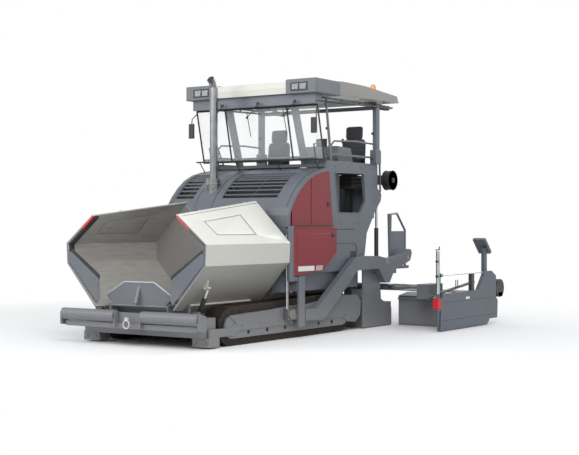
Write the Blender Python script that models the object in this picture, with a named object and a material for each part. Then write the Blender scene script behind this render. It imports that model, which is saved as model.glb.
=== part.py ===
"""Tracked asphalt paver with an extending screed.

Metres, +Z up. The machine drives towards -Y, its left side is +X, and the origin is on
the ground under the middle of its overall length. The hopper wings are folded to the
transport width, and the screed stands on the ground with both extensions run out.
"""
import math

import bmesh
import bpy
from mathutils import Vector

# ---- driving dimensions -------------------------------------------------------------
HALF_LENGTH = 3.52          # origin to the push rollers, and to the cable drums behind
HALF_TRANSPORT = 1.27       # half of the width on the road
HALF_PAVING = 2.50          # half of the width over the end gates
SEAT_GAP = 0.0003           # between pieces that touch
RUN_GAP = 0.006             # between pieces that move past each other

# crawler tracks
TRACK_IN = 0.81
TRACK_OUT = 1.105
IDLER_Y = -2.58
IDLER_R = 0.27
SPROCKET_Y = 0.33
SPROCKET_R = 0.31
SHOE_THICK = 0.032
CHAIN_THICK = 0.075
SHOES = 46
PLATE_OUT = 1.155           # outer face of the track frames

# chassis
CHASSIS_HALF = 0.76
CHASSIS_LOW = 0.26
CHASSIS_TOP = 0.96
SPONSON_HALF = 1.085        # body over the tracks
SPONSON_LOW = 0.69
HOPPER_BED = 0.50           # top of the chassis under the hopper
BODY_FRONT = -1.27
BODY_REAR = 0.92
TUNNEL_HALF = 0.52
TUNNEL_LOW = 0.52
TUNNEL_TOP = 0.84
CROSS_FRONT = -3.13
CROSS_REAR = -2.91
CROSS_HALF = 1.10

# hopper
WING_FRONT = -3.35
WING_REAR = -1.345
WING_SHEET = 0.022
WING_LIP = (0.705, 0.533)
WING_LOW = (1.248, 1.148)
WING_HIGH = (1.262, 1.42)
WING_TIP = (0.766, 1.82)
WING_TIP_REAR = (0.650, 2.035)
WING_BACK_TOP = (0.03, 1.36)
WING_BACK_EDGE = [(1.255, 1.142), (1.27, 1.424), (0.677, 2.019)]
WING_HINGE = (0.805, 0.585)
WING_PIN_R = 0.018
APRON_Y = -3.22
APRON_LOW = 0.545
APRON_HALF = 0.51

# engine hood and body
HOOD_HALF = 1.19
HOOD_SKIN = 0.05
HOOD_FRONT = -1.20
HOOD_LOW = 1.0
HOOD_SHOULDER = 1.96
HOOD_BACK = 0.05
HOOD_CROWN = 2.60
PANEL_IN = 1.125            # red upper panels
PANEL_OUT = 1.182
DOOR_IN = 1.17
DOOR_OUT = 1.262
FRAME_IN = 1.088
FRAME_OUT = 1.138
DECK_TOP = 1.86
DECK_THICK = 0.06
SIDE_TOP = 2.70
CAB_REAR = 1.44

# canopy
ROOF_HALF = 1.25
ROOF_FRONT = -0.60
ROOF_REAR = 1.99
ROOF_LOW = 3.72
ROOF_TOP = 3.95
ROOF_SKIN = 0.035
FRONT_POST_X = 0.64
REAR_POST_X = 1.165
REAR_POST_Y = 1.38

# screed
TOW_Y = -1.01
TOW_Z = 0.35
ARM_IN = 1.1655
ARM_OUT = HALF_TRANSPORT - 0.005
BASE_HALF = 1.15
BASE_FRONT = 1.05
BASE_REAR = 1.90
BASE_TOP = 0.42
CHEEK_IN = 1.1435
CHEEK_OUT = 1.165
EXT_FRONT = 1.95
EXT_REAR = 2.75
EXT_IN = 1.27
GATE_THICK = 0.06
GUIDE_Z = 0.65
GUIDE_R = 0.055
AUGER_Y = 0.835
AUGER_Z = 0.36
AUGER_R = 0.185

SIDES = (("left", 1), ("right", -1))


# ---- making solids ------------------------------------------------------------------
def clear_scene():
    for thing in list(bpy.data.objects):
        bpy.data.objects.remove(thing, do_unlink=True)


def finish_name(name, colour, roughness, metallic):
    material = bpy.data.materials.new(name)
    material.use_nodes = True
    shader = material.node_tree.nodes["Principled BSDF"]
    shader.inputs["Base Color"].default_value = (*colour, 1)
    shader.inputs["Roughness"].default_value = roughness
    shader.inputs["Metallic"].default_value = metallic
    return material


FINISHES = {
    "paint": ((0.13, 0.15, 0.18), 0.4, 0.0),
    "cream": ((0.62, 0.61, 0.55), 0.4, 0.0),
    "red": ((0.30, 0.005, 0.02), 0.25, 0.0),
    "track": ((0.05, 0.035, 0.03), 0.7, 0.5),
    "rubber": ((0.02, 0.02, 0.022), 0.8, 0.0),
    "chrome": ((0.6, 0.6, 0.62), 0.15, 1.0),
    "steel": ((0.25, 0.24, 0.23), 0.45, 1.0),
    "glass": ((0.8, 0.85, 0.85), 0.05, 0.0),
    "seat": ((0.03, 0.03, 0.032), 0.8, 0.0),
}
MATERIALS = {}


def material_for(finish):
    if finish not in MATERIALS:
        MATERIALS[finish] = finish_name(finish, *FINISHES[finish])
    return MATERIALS[finish]


def as_object(name, vertices, faces):
    mesh = bpy.data.meshes.new(name)
    mesh.from_pydata([tuple(v) for v in vertices], [], faces)
    mesh.update()
    work = bmesh.new()
    work.from_mesh(mesh)
    bmesh.ops.recalc_face_normals(work, faces=work.faces)
    work.to_mesh(mesh)
    work.free()
    thing = bpy.data.objects.new(name, mesh)
    bpy.context.scene.collection.objects.link(thing)
    return thing


def place(axis, along, first, second):
    """A point from its place along an axis and its two coordinates across it."""
    return {
        "x": (along, first, second),
        "y": (first, along, second),
        "z": (first, second, along),
    }[axis]


def prism(outline, axis, low, high):
    """An outline across an axis, drawn out from low to high."""
    count = len(outline)
    vertices = [place(axis, at, *point) for at in (low, high) for point in outline]
    faces = [tuple(range(count)), tuple(range(2 * count - 1, count - 1, -1))]
    for i in range(count):
        j = (i + 1) % count
        faces.append((i, j, count + j, count + i))
    return as_object("prism", vertices, faces)


def box(x, y, z):
    return prism([(x[0], y[0]), (x[1], y[0]), (x[1], y[1]), (x[0], y[1])], "z", *z)


def arc(centre, radius, start, end, steps):
    """Points on a circle in a plane, angles in degrees."""
    points = []
    for i in range(steps + 1):
        angle = math.radians(start + (end - start) * i / steps)
        points.append((centre[0] + radius * math.cos(angle), centre[1] + radius * math.sin(angle)))
    return points


def disc(axis, centre, radius, low, high, steps=20):
    return prism(arc(centre, radius, 0, 360 - 360 / steps, steps - 1), axis, low, high)


def tube(points, radius, steps=12):
    """A round bar along a path, with flat ends."""
    path = [Vector(p) for p in points]
    rings = []
    side = None
    for i, here in enumerate(path):
        before = path[max(i - 1, 0)]
        after = path[min(i + 1, len(path) - 1)]
        run = (after - before).normalized()
        if side is None:
            side = run.orthogonal().normalized()
        side = (side - run * side.dot(run)).normalized()
        other = run.cross(side)
        stretch = 1.0
        if 0 < i < len(path) - 1:
            stretch = 1 / max(0.5, run.dot((after - here).normalized()))
        for k in range(steps):
            angle = 2 * math.pi * k / steps
            offset = side * math.cos(angle) + other * math.sin(angle)
            rings.append(here + offset * radius * (stretch if i else 1.0))
    faces = [tuple(range(steps - 1, -1, -1))]
    for i in range(len(path) - 1):
        for k in range(steps):
            j = (k + 1) % steps
            a = i * steps
            faces.append((a + k, a + j, a + steps + j, a + steps + k))
    last = (len(path) - 1) * steps
    faces.append(tuple(range(last, last + steps)))
    return as_object("tube", rings, faces)


def cone(centre, low, high, radius_low, radius_high, steps=12):
    vertices = []
    for z, radius in ((low, radius_low), (high, radius_high)):
        for point in arc(centre, radius, 0, 360 - 360 / steps, steps - 1):
            vertices.append((point[0], point[1], z))
    faces = [tuple(range(steps)), tuple(range(2 * steps - 1, steps - 1, -1))]
    for i in range(steps):
        j = (i + 1) % steps
        faces.append((i, j, steps + j, steps + i))
    return as_object("cone", vertices, faces)


def combine(target, others, operation):
    """One Boolean with all the other shapes at once, applied; the others are removed."""
    group = bpy.data.collections.new("operands")
    bpy.context.scene.collection.children.link(group)
    for other in others:
        group.objects.link(other)
    boolean = target.modifiers.new("boolean", "BOOLEAN")
    boolean.operation = operation
    boolean.operand_type = "COLLECTION"
    boolean.collection = group
    boolean.solver = "EXACT"
    bpy.context.view_layer.update()
    shape = target.evaluated_get(bpy.context.evaluated_depsgraph_get())
    mesh = bpy.data.meshes.new_from_object(shape)
    target.modifiers.clear()
    target.data = mesh
    for other in others:
        bpy.data.objects.remove(other, do_unlink=True)
    bpy.data.collections.remove(group)
    return target


def join(first, *others):
    for other in others:
        combine(first, [other], "UNION")
    return first


def cut(target, *cutters):
    for cutter in cutters:
        combine(target, [cutter], "DIFFERENCE")
    return target


def node(name, shape, finish, round_shape=False):
    """Give a finished shape its node's name and material."""
    shape.name = name
    shape.data.name = name
    shape.data.materials.clear()
    shape.data.materials.append(material_for(finish))
    work = bmesh.new()
    work.from_mesh(shape.data)
    bmesh.ops.remove_doubles(work, verts=work.verts, dist=0.00002)
    bmesh.ops.dissolve_limit(work, angle_limit=0.0005, verts=work.verts, edges=work.edges)
    work.to_mesh(shape.data)
    work.free()
    if round_shape:
        shape.data.shade_smooth()
        shape.data.set_sharp_from_angle(angle=math.radians(35))
    return shape


def span(sign, low, high):
    """A range across the machine on one side, in rising order."""
    return (low, high) if sign > 0 else (-high, -low)


def mirrored(points, sign):
    return [(sign * x, z) for x, z in points]


def offset_outline(points, distance):
    """An outline moved outwards (or inwards, if negative) by one distance all round."""
    area = 0
    count = len(points)
    for i in range(count):
        x0, y0 = points[i]
        x1, y1 = points[(i + 1) % count]
        area += x0 * y1 - x1 * y0
    turn = 1 if area > 0 else -1
    moved = []
    for i in range(count):
        before = Vector(points[i - 1])
        here = Vector(points[i])
        after = Vector(points[(i + 1) % count])
        one = (here - before).normalized()
        two = (after - here).normalized()
        normal_one = Vector((one.y, -one.x)) * turn
        normal_two = Vector((two.y, -two.x)) * turn
        middle = (normal_one + normal_two).normalized()
        moved.append(tuple(here + middle * distance / max(0.3, middle.dot(normal_one))))
    return moved


# ---- crawler tracks ------------------------------------------------------------------
def belt_outline(inset, arc_steps):
    """The belt round the idler and the sprocket, set in from the shoes' outer faces."""
    idler = IDLER_R - inset
    sprocket = SPROCKET_R - inset
    span_y = SPROCKET_Y - IDLER_Y
    tilt = math.degrees(math.asin((SPROCKET_R - IDLER_R) / span_y))
    rise = 2 * tilt
    front = arc((IDLER_Y, IDLER_R), idler, 90 + rise, 270, arc_steps)
    back = arc((SPROCKET_Y, SPROCKET_R), sprocket, -90, 90 + rise, arc_steps)
    return front + back


def along_outline(points):
    """The outline's corners with their distance round it, closed."""
    total = 0
    table = [(0, points[0])]
    for i in range(len(points)):
        a = Vector(points[i])
        b = Vector(points[(i + 1) % len(points)])
        total += (b - a).length
        table.append((total, tuple(b)))
    return table, total


def at_distance(table, distance):
    for (d0, p0), (d1, p1) in zip(table, table[1:]):
        if distance <= d1 and d1 > d0:
            share = (distance - d0) / (d1 - d0)
            return (p0[0] + (p1[0] - p0[0]) * share, p0[1] + (p1[1] - p0[1]) * share)
    return table[-1][1]


def shoe_outline():
    """Outer outline with each shoe's plate standing out from the chain."""
    outer, total = along_outline(belt_outline(0, 40))
    inner, inner_total = along_outline(belt_outline(SHOE_THICK, 40))
    points = []
    pitch = total / SHOES
    for i in range(SHOES):
        for share, table, length in ((0.02, inner, inner_total), (0.06, outer, total),
                                     (0.94, outer, total), (0.98, inner, inner_total)):
            points.append(at_distance(table, (i + share) * pitch / total * length))
    return points


def build_tracks():
    for side, sign in SIDES:
        belt = prism(shoe_outline(), "x", *span(sign, TRACK_IN, TRACK_OUT))
        hollow = prism(belt_outline(SHOE_THICK + CHAIN_THICK, 14), "x",
                       *span(sign, TRACK_IN - 0.1, TRACK_OUT + 0.1))
        node(f"track_{side}", cut(belt, hollow), "track")


def build_track_frames():
    plate = [(-3.10, 0.15), (-2.62, 0.15), (-2.57, 0.135), (-2.45, 0.21), (-0.72, 0.22), (0.35, 0.23), (0.47, 0.15),
             (0.74, 0.13), (0.88, 0.24), (0.90, 0.46), (0.78, 0.56), (0.31, 0.58), (-0.69, 0.49),
             (-1.17, 0.49), (-2.48, 0.41), (-2.67, 0.43), (-2.50, 0.32), (-2.62, 0.26), (-3.10, 0.27)]
    for side, sign in SIDES:
        skin = prism(plate, "x", *span(sign, TRACK_OUT + 0.015, PLATE_OUT))
        inset = SHOE_THICK + CHAIN_THICK + SEAT_GAP
        beam = prism(belt_outline(inset, 14), "x", *span(sign, CHASSIS_HALF + SEAT_GAP, PLATE_OUT - 0.01))
        node(f"track_frame_{side}", join(beam, skin), "paint")


# ---- chassis -------------------------------------------------------------------------
def build_main_frame():
    body = [(-CHASSIS_HALF, CHASSIS_LOW), (CHASSIS_HALF, CHASSIS_LOW), (CHASSIS_HALF, SPONSON_LOW),
            (SPONSON_HALF, SPONSON_LOW), (SPONSON_HALF, CHASSIS_TOP), (-SPONSON_HALF, CHASSIS_TOP),
            (-SPONSON_HALF, SPONSON_LOW), (-CHASSIS_HALF, SPONSON_LOW)]
    frame = prism(body, "y", BODY_FRONT, BODY_REAR)
    bay = box((-2, 2), (AUGER_Y - AUGER_R - 0.06, 2), (0, 0.62))
    tunnel = box((-TUNNEL_HALF, TUNNEL_HALF), (BODY_FRONT - 0.1, BODY_REAR + 0.1), (TUNNEL_LOW, TUNNEL_TOP))
    frame = cut(frame, bay, tunnel)
    shapes = [
        box((-0.625, 0.625), (CROSS_FRONT + 0.05, BODY_FRONT + 0.05), (CHASSIS_LOW, HOPPER_BED)),
        box((-CROSS_HALF, CROSS_HALF), (CROSS_FRONT, CROSS_REAR), (0.14, 0.42)),
        box((-0.085, 0.085), (AUGER_Y - 0.10, BODY_REAR - 0.002), (AUGER_Z - 0.12, 0.88)),
    ]
    for low, high in ((0.225, PIVOT_LOW - SEAT_GAP), (PIVOT_HIGH + SEAT_GAP, 0.43)):
        shapes.append(box((-0.08, 0.08), (PIVOT_Y - 0.03, CROSS_FRONT + 0.05), (low, high)))
    for _, sign in SIDES:
        shapes.append(box(span(sign, 0.58, CHASSIS_HALF), (CROSS_REAR - 0.05, BODY_FRONT + 0.05), (CHASSIS_LOW, 0.44)))
        shapes.append(box(span(sign, 0.86, PLATE_OUT), (CROSS_FRONT + 0.01, CROSS_REAR + 0.02), (0.02, 0.15 - SEAT_GAP)))
        shapes.append(box(span(sign, 0.85, 0.95), (CROSS_FRONT + 0.03, CYLINDER_Y - 0.035 - SEAT_GAP), (0.40, 0.50)))
        shapes.append(box(span(sign, APRON_HALF + SEAT_GAP, APRON_HALF + 0.03), (APRON_Y - 0.03, CROSS_FRONT + 0.05), (0.40, 0.575)))
        pin_x = WING_HINGE[0]
        shapes.append(box(span(sign, pin_x - WING_PIN_R, pin_x + WING_PIN_R),
                          (CROSS_FRONT - 0.01, WING_PIN_FRONT - SEAT_GAP), (0.40, WING_HINGE[1] - 0.005)))
    node("main_frame", join(frame, *shapes), "paint")


def build_hopper_floor():
    """The conveyor chains' deck, and the fixed plate behind the wings round the tunnel's mouth."""
    deck = box((-0.60, 0.60), (CROSS_FRONT + 0.05 + SEAT_GAP, BODY_FRONT - 0.002), (HOPPER_BED + SEAT_GAP, HOPPER_BED + 0.035))
    middle = box((-0.05, 0.05), (CROSS_FRONT + 0.05, BODY_FRONT - 0.002), (HOPPER_BED + 0.03, HOPPER_BED + 0.075))
    outline = [(-0.70, 0.51), (0.70, 0.51), (0.70, 0.62), (0.95, 0.66), (0.95, 1.60), (-0.95, 1.60),
               (-0.95, 0.66), (-0.70, 0.62)]
    wall = prism(outline, "y", BODY_FRONT - 0.03, BODY_FRONT - SEAT_GAP)
    mouth = box((-TUNNEL_HALF, TUNNEL_HALF), (BODY_FRONT - 0.2, BODY_FRONT + 0.1), (HOPPER_BED + 0.08, TUNNEL_TOP))
    node("hopper_floor", join(cut(wall, mouth), deck, middle), "steel")


# ---- hopper wings ----------------------------------------------------------------------
def wing_section(tip):
    """The folded sheet's middle line, from the lip beside the conveyor to the tip."""
    return [WING_LIP, WING_LOW, WING_HIGH, tip]


def sheet_outline(line, thickness):
    """Both faces of a folded sheet, offset outwards from its inner line."""
    outer = []
    for i, here in enumerate(line):
        here = Vector(here)
        runs = []
        if i > 0:
            runs.append((here - Vector(line[i - 1])).normalized())
        if i < len(line) - 1:
            runs.append((Vector(line[i + 1]) - here).normalized())
        normals = [Vector((run.y, -run.x)) for run in runs]
        middle = sum(normals, Vector((0, 0))).normalized()
        outer.append(tuple(here + middle * thickness / middle.dot(normals[0])))
    return list(line) + outer[::-1]


def build_wings():
    for side, sign in SIDES:
        ends = []
        for y, tip in ((WING_FRONT, WING_TIP), (WING_REAR, WING_TIP_REAR)):
            outline = mirrored(sheet_outline(wing_section(tip), WING_SHEET), sign)
            ends.append([(x, y, z) for x, z in outline])
        count = len(ends[0])
        faces = [tuple(range(count)), tuple(range(2 * count - 1, count - 1, -1))]
        for i in range(count):
            j = (i + 1) % count
            faces.append((i, j, count + j))
            faces.append((i, count + j, count + i))
        shell = as_object("wing", ends[0] + ends[1], faces)
        back = mirrored([(0.715, 0.545), *WING_BACK_EDGE, WING_BACK_TOP], sign)
        rear = prism(back, "y", WING_REAR - WING_SHEET, WING_REAR - 0.005)
        lug_line = [(0.985, 0.845), (1.10, 0.975), (1.09, 0.83), (1.05, 0.80)]
        lug = prism(mirrored(lug_line, sign), "y", CYLINDER_Y - 0.057, CYLINDER_Y - 0.040)
        hinge = disc("y", (sign * WING_HINGE[0], WING_HINGE[1]), WING_PIN_R + 0.001, WING_PIN_FRONT, -1.70, 12)
        node(f"hopper_wing_{side}", join(shell, rear, hinge, lug), "cream")


CYLINDER_Y = CROSS_FRONT + 0.112
WING_PIN_FRONT = CROSS_FRONT + 0.03
WING_CYLINDER_FOOT = (0.90, 0.47)
WING_CYLINDER_EYE = (1.06, 0.83)


def build_wing_cylinders():
    """Black barrel on the cross member, and the rod that pushes the wing up."""
    foot = Vector((WING_CYLINDER_FOOT[0], 0.0, WING_CYLINDER_FOOT[1]))
    eye = Vector((WING_CYLINDER_EYE[0], 0.0, WING_CYLINDER_EYE[1]))
    length = (eye - foot).length
    run = (eye - foot) / length
    for side, sign in SIDES:
        def at(distance):
            point = foot + run * distance
            return (sign * point.x, CYLINDER_Y, point.z)
        barrel = tube([at(0.015), at(length * 0.60)], 0.034)
        pin = disc("y", (sign * foot.x, foot.z), 0.028, CYLINDER_Y - 0.035, CYLINDER_Y + 0.035, 12)
        hollow = tube([at(0.075), at(length * 0.60 + 0.05)], 0.018)
        node(f"wing_barrel_{side}", cut(join(pin, barrel), hollow), "rubber", True)
        rod = tube([at(0.185), at(length - 0.01)], 0.0175)
        ring = disc("y", (sign * eye.x, eye.z), 0.026, CYLINDER_Y - 0.028, CYLINDER_Y + 0.024, 12)
        node(f"wing_rod_{side}", join(rod, ring), "chrome", True)


# ---- hopper front ----------------------------------------------------------------------
def build_apron():
    face = [(-0.50, APRON_LOW + 0.02), (0.50, APRON_LOW + 0.02), (0.60, 0.70), (0.27, 0.89), (-0.27, 0.89), (-0.60, 0.70)]
    plate = prism(face, "y", APRON_Y - 0.02, APRON_Y)
    rib = prism([(APRON_Y - 0.10, 0.60), (APRON_Y - 0.01, 0.57), (APRON_Y - 0.01, 0.86)], "x", -0.025, 0.025)
    hinge = disc("x", (APRON_Y - 0.01, APRON_LOW + 0.012), 0.018, -APRON_HALF, APRON_HALF, 12)
    notches = [box(span(s, APRON_HALF - 0.006, APRON_HALF + 0.036), (APRON_Y - 0.03, APRON_Y + 0.01), (APRON_LOW, 0.61))
               for _, s in SIDES]
    node("front_apron", join(cut(plate, *notches), rib, hinge), "paint")


ROLLER_R = 0.085
PUSH_Y = -HALF_LENGTH + ROLLER_R
PUSH_Z = 0.42
PIVOT_Y = CROSS_FRONT - 0.105
PIVOT_LOW = 0.27
PIVOT_HIGH = 0.40


def build_push_beam():
    beam = box((-1.20, 1.20), (PUSH_Y - 0.01, PUSH_Y + 0.10), (0.25, 0.325))
    centre = box((-0.22, 0.22), (PUSH_Y + 0.02, PUSH_Y + 0.10), (0.30, 0.47))
    pivot = disc("z", (0, PIVOT_Y), 0.08, PIVOT_LOW, PIVOT_HIGH, 16)
    neck = box((-0.12, 0.12), (PUSH_Y + 0.08, PIVOT_Y - 0.04), (PIVOT_LOW + 0.005, PIVOT_HIGH - 0.005))
    shapes = [centre, neck, pivot]
    for _, sign in SIDES:
        for low, high in ((0.225, 0.245), (1.245, HALF_TRANSPORT)):
            x = span(sign, low, high)
            cheek = [(PUSH_Y - 0.06, 0.27), (PUSH_Y + 0.10, 0.25), (PUSH_Y + 0.10, 0.47), (PUSH_Y - 0.02, 0.50), (PUSH_Y - 0.06, 0.44)]
            shapes.append(prism(cheek, "x", *x))
        shapes.append(box(span(sign, 1.15, 1.26), (PUSH_Y + 0.02, PUSH_Y + 0.10), (0.26, 0.32)))
        shapes.append(box(span(sign, 0.20, 0.244), (PUSH_Y + 0.05, PUSH_Y + 0.095), (0.26, 0.45)))
    node("push_beam", join(beam, *shapes), "paint")


def build_push_rollers():
    for side, sign in SIDES:
        drum = disc("x", (PUSH_Y, PUSH_Z), ROLLER_R, *span(sign, 0.252, 1.238), 24)
        axle = disc("x", (PUSH_Y, PUSH_Z), 0.03, *span(sign, 0.245 + SEAT_GAP, 1.245 - SEAT_GAP), 12)
        node(f"push_roller_{side}", join(drum, axle), "paint", True)


# ---- engine and hood ---------------------------------------------------------------------
def hood_line(inset):
    """The hood's side profile from its front foot over the crown to its back edge."""
    radius_low = 0.62
    front = HOOD_FRONT + inset
    crown = HOOD_CROWN - inset
    shoulder = [(front - 0.05, HOOD_LOW), (front - 0.05, HOOD_SHOULDER - 0.12), (front, HOOD_SHOULDER)]
    bow = []
    for share, lift in ((0.10, 0.27), (0.22, 0.50), (0.36, 0.70), (0.52, 0.84), (0.70, 0.925), (0.86, 0.97)):
        y = front + (HOOD_BACK - front) * share
        bow.append((y, HOOD_SHOULDER + (crown - HOOD_SHOULDER) * lift))
    return shoulder + bow + [(HOOD_BACK, crown)]


def behind_frame_edge():
    """The space behind the side frames' slanting front edge."""
    low = (FRAME_EDGE_LOW[0] - SEAT_GAP, FRAME_EDGE_LOW[1])
    high = (FRAME_EDGE_HIGH[0] - SEAT_GAP, FRAME_EDGE_HIGH[1])
    return [(high[0], 3.0), high, low, (low[0], 0.5), (1.0, 0.5), (1.0, 3.0)]


def build_hood():
    outer = hood_line(0) + [(HOOD_BACK, HOOD_LOW)]
    inner = [(y, z - 0.001) for y, z in hood_line(HOOD_SKIN)]
    inner[0] = (inner[0][0], HOOD_LOW - 0.1)
    inner = inner[:-1] + [(HOOD_BACK + 0.1, HOOD_CROWN - HOOD_SKIN), (HOOD_BACK + 0.1, HOOD_LOW - 0.1)]
    hood = cut(prism(outer, "x", -HOOD_HALF, HOOD_HALF), prism(inner, "x", -HOOD_HALF - 0.1, HOOD_HALF + 0.1))
    for _, sign in SIDES:
        beside = span(sign, FRAME_IN - 0.003, HOOD_HALF + 0.1)
        hood = cut(hood, box(beside, (HOOD_FRONT - 0.2, HOOD_FRONT + 0.3), (HOOD_LOW - 0.1, 1.66)))
        hood = cut(hood, prism(behind_frame_edge(), "x", *beside))
    for low, high in ((-0.17, 0.88), (-1.09, -0.73)):
        corner = [(-1.06, 2.06), (-0.52, 2.46), (-0.56, 2.62), (-1.16, 2.20)]
        hood = cut(hood, prism(corner, "x", low, high))
    node("engine_hood", hood, "paint", True)


def build_engine():
    node("engine_block", box((-0.55, 0.55), (-1.05, -0.05), (CHASSIS_TOP + SEAT_GAP, 2.05)), "steel")


def build_upper_panels():
    line = hood_line(HOOD_SKIN + 0.004)[2:]
    line[0] = (line[0][0], HOOD_SHOULDER - 0.02)
    outline = [(HOOD_FRONT + HOOD_SKIN + 0.004, FRAME_EDGE_LOW[1] + SEAT_GAP)] + line
    outline += [(HOOD_BACK, FRAME_EDGE_LOW[1] + SEAT_GAP)]
    for side, sign in SIDES:
        panel = prism(outline, "x", *span(sign, PANEL_IN, PANEL_OUT))
        node(f"upper_panel_{side}", cut(panel, prism(behind_frame_edge(), "x", *span(sign, 1.0, 1.3))), "red")


DOOR_FRONT = -1.205
DOOR_LOW = 0.945
DOOR_TOP = 1.65
DOOR_PIN = (1.25, -1.212)


def build_side_doors():
    """Deep pressed doors hinged at their front edge on a full-height pin."""
    outline = [(DOOR_FRONT, DOOR_LOW), (-0.42, 0.985), (-0.02, 1.27), (-0.01, 1.61), (-0.04, DOOR_TOP), (DOOR_FRONT, DOOR_TOP)]
    for side, sign in SIDES:
        door = prism(outline, "x", *span(sign, DOOR_IN, DOOR_OUT))
        hollow = prism(offset_outline(outline, -0.03), "x", *span(sign, DOOR_IN - 0.1, DOOR_OUT - 0.03))
        pin = disc("z", (sign * DOOR_PIN[0], DOOR_PIN[1]), 0.013, DOOR_LOW, DOOR_TOP, 12)
        node(f"side_door_{side}", join(cut(door, hollow), pin), "red")


FRAME_EDGE_LOW = (0.01, 1.655)
FRAME_EDGE_HIGH = (-0.11, 2.56)


def build_side_frames():
    outline = [(BODY_FRONT + 0.02, CHASSIS_TOP + SEAT_GAP), (0.91, CHASSIS_TOP + SEAT_GAP), (1.05, 1.20),
               (1.12, 1.56), (1.38, 1.90), (1.58, 2.10), (1.60, 2.20), (1.47, 2.30), (1.47, SIDE_TOP),
               (FRAME_EDGE_HIGH[0], SIDE_TOP), FRAME_EDGE_HIGH, FRAME_EDGE_LOW, (BODY_FRONT + 0.02, FRAME_EDGE_LOW[1])]
    window = [(0.23, 1.88), (0.91, 1.88), (1.08, 2.08), (1.02, 2.53), (0.13, 2.52)]
    for side, sign in SIDES:
        wall = prism(outline, "x", *span(sign, FRAME_IN, FRAME_OUT))
        node(f"side_frame_{side}", cut(wall, prism(window, "x", *span(sign, 1.0, 1.2))), "paint")


def build_deck():
    inner = FRAME_IN - SEAT_GAP
    floor = box((-inner, inner), (0.07, CAB_REAR), (DECK_TOP - DECK_THICK, DECK_TOP))
    front = box((-inner, inner), (0.07, 0.11), (CHASSIS_TOP + SEAT_GAP, 2.57))
    sill = box((-inner, inner), (-0.02, 0.10), (2.61, 2.66))
    rear = box((-inner, inner), (BODY_REAR - 0.05, BODY_REAR - 0.01), (CHASSIS_TOP + SEAT_GAP, DECK_TOP - 0.02))
    back = box((-inner, inner), (CAB_REAR - 0.04, CAB_REAR), (DECK_TOP - 0.03, 2.30))
    step = box((-0.5, 0.5), (0.075, 0.105), (2.5, 2.63))
    lugs = [box(span(s, LIFT_X - 0.09, LIFT_X - 0.051), (CAB_REAR - 0.01, LIFT_Y + 0.04),
                (LIFT_HIGH - 0.05, LIFT_HIGH + 0.05)) for _, s in SIDES]
    node("operator_deck", join(floor, front, rear, back, sill, step, *lugs), "paint")


LIFT_X = 1.05
LIFT_Y = 1.58
LIFT_LOW = 1.08
LIFT_HIGH = 2.10


# ---- canopy ------------------------------------------------------------------------------
def build_roof():
    outer = [(ROOF_FRONT + 0.02, ROOF_LOW), (ROOF_REAR, ROOF_LOW + 0.03), (ROOF_REAR - 0.06, 3.86),
             (0.9, ROOF_TOP - 0.01), (0.2, ROOF_TOP), (ROOF_FRONT + 0.03, ROOF_TOP - 0.04), (ROOF_FRONT, ROOF_LOW + 0.1)]
    inner = [(ROOF_FRONT + 0.06, ROOF_LOW - 0.1), (ROOF_REAR - 0.05, ROOF_LOW - 0.1), (ROOF_REAR - 0.09, 3.82),
             (0.9, ROOF_TOP - 0.05), (0.2, ROOF_TOP - 0.04), (ROOF_FRONT + 0.06, ROOF_TOP - 0.08)]
    roof = prism(outer, "x", -ROOF_HALF, ROOF_HALF)
    hollow = prism(inner, "x", -ROOF_HALF + ROOF_SKIN, ROOF_HALF - ROOF_SKIN)
    beam = box((-1.19, 1.19), (ROOF_FRONT + 0.08, ROOF_FRONT + 0.30), (3.555, ROOF_LOW + 0.06))
    front_lip = box((-1.19, 1.19), (ROOF_FRONT + 0.05, ROOF_FRONT + 0.12), (ROOF_LOW + 0.01, ROOF_LOW + 0.055))
    corners = [box(span(s, 0.9, ROOF_HALF - 0.02), (REAR_POST_Y - 0.1, REAR_POST_Y + 0.1),
                   (3.69, ROOF_LOW + 0.12)) for _, s in SIDES]
    node("canopy_roof", join(cut(roof, hollow), beam, front_lip, *corners), "cream")


def build_front_posts():
    rail = tube([(-1.20, -0.205, 2.76), (1.20, -0.205, 2.76)], 0.016, 8)
    shapes = []
    for _, sign in SIDES:
        x = span(sign, FRONT_POST_X - 0.035, FRONT_POST_X + 0.035)
        lean = [(-0.03, 2.6603), (0.08, 2.6603), (-0.21, 3.5545), (-0.33, 3.5545)]
        shapes.append(prism(lean, "x", *x))
        shapes.append(box(span(sign, FRONT_POST_X - 0.02, FRONT_POST_X + 0.02), (-0.22, -0.03), (2.745, 2.775)))
    node("front_posts", join(shapes[0], *shapes[1:], rail), "paint")


def build_rear_posts():
    bar = box((-REAR_POST_X, REAR_POST_X), (REAR_POST_Y - 0.03, REAR_POST_Y + 0.03), (3.60, 3.66))
    posts = [box(span(s, REAR_POST_X - 0.04, REAR_POST_X + 0.035), (REAR_POST_Y - 0.05, REAR_POST_Y + 0.05),
                 (SIDE_TOP + SEAT_GAP, 3.69 - SEAT_GAP)) for _, s in SIDES]
    feet = [box(span(s, FRAME_IN + 0.01, REAR_POST_X + 0.045), (REAR_POST_Y - 0.09, REAR_POST_Y + 0.08),
                (SIDE_TOP + SEAT_GAP, 2.93)) for _, s in SIDES]
    node("rear_posts", join(bar, *posts, *feet), "paint")


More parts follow.
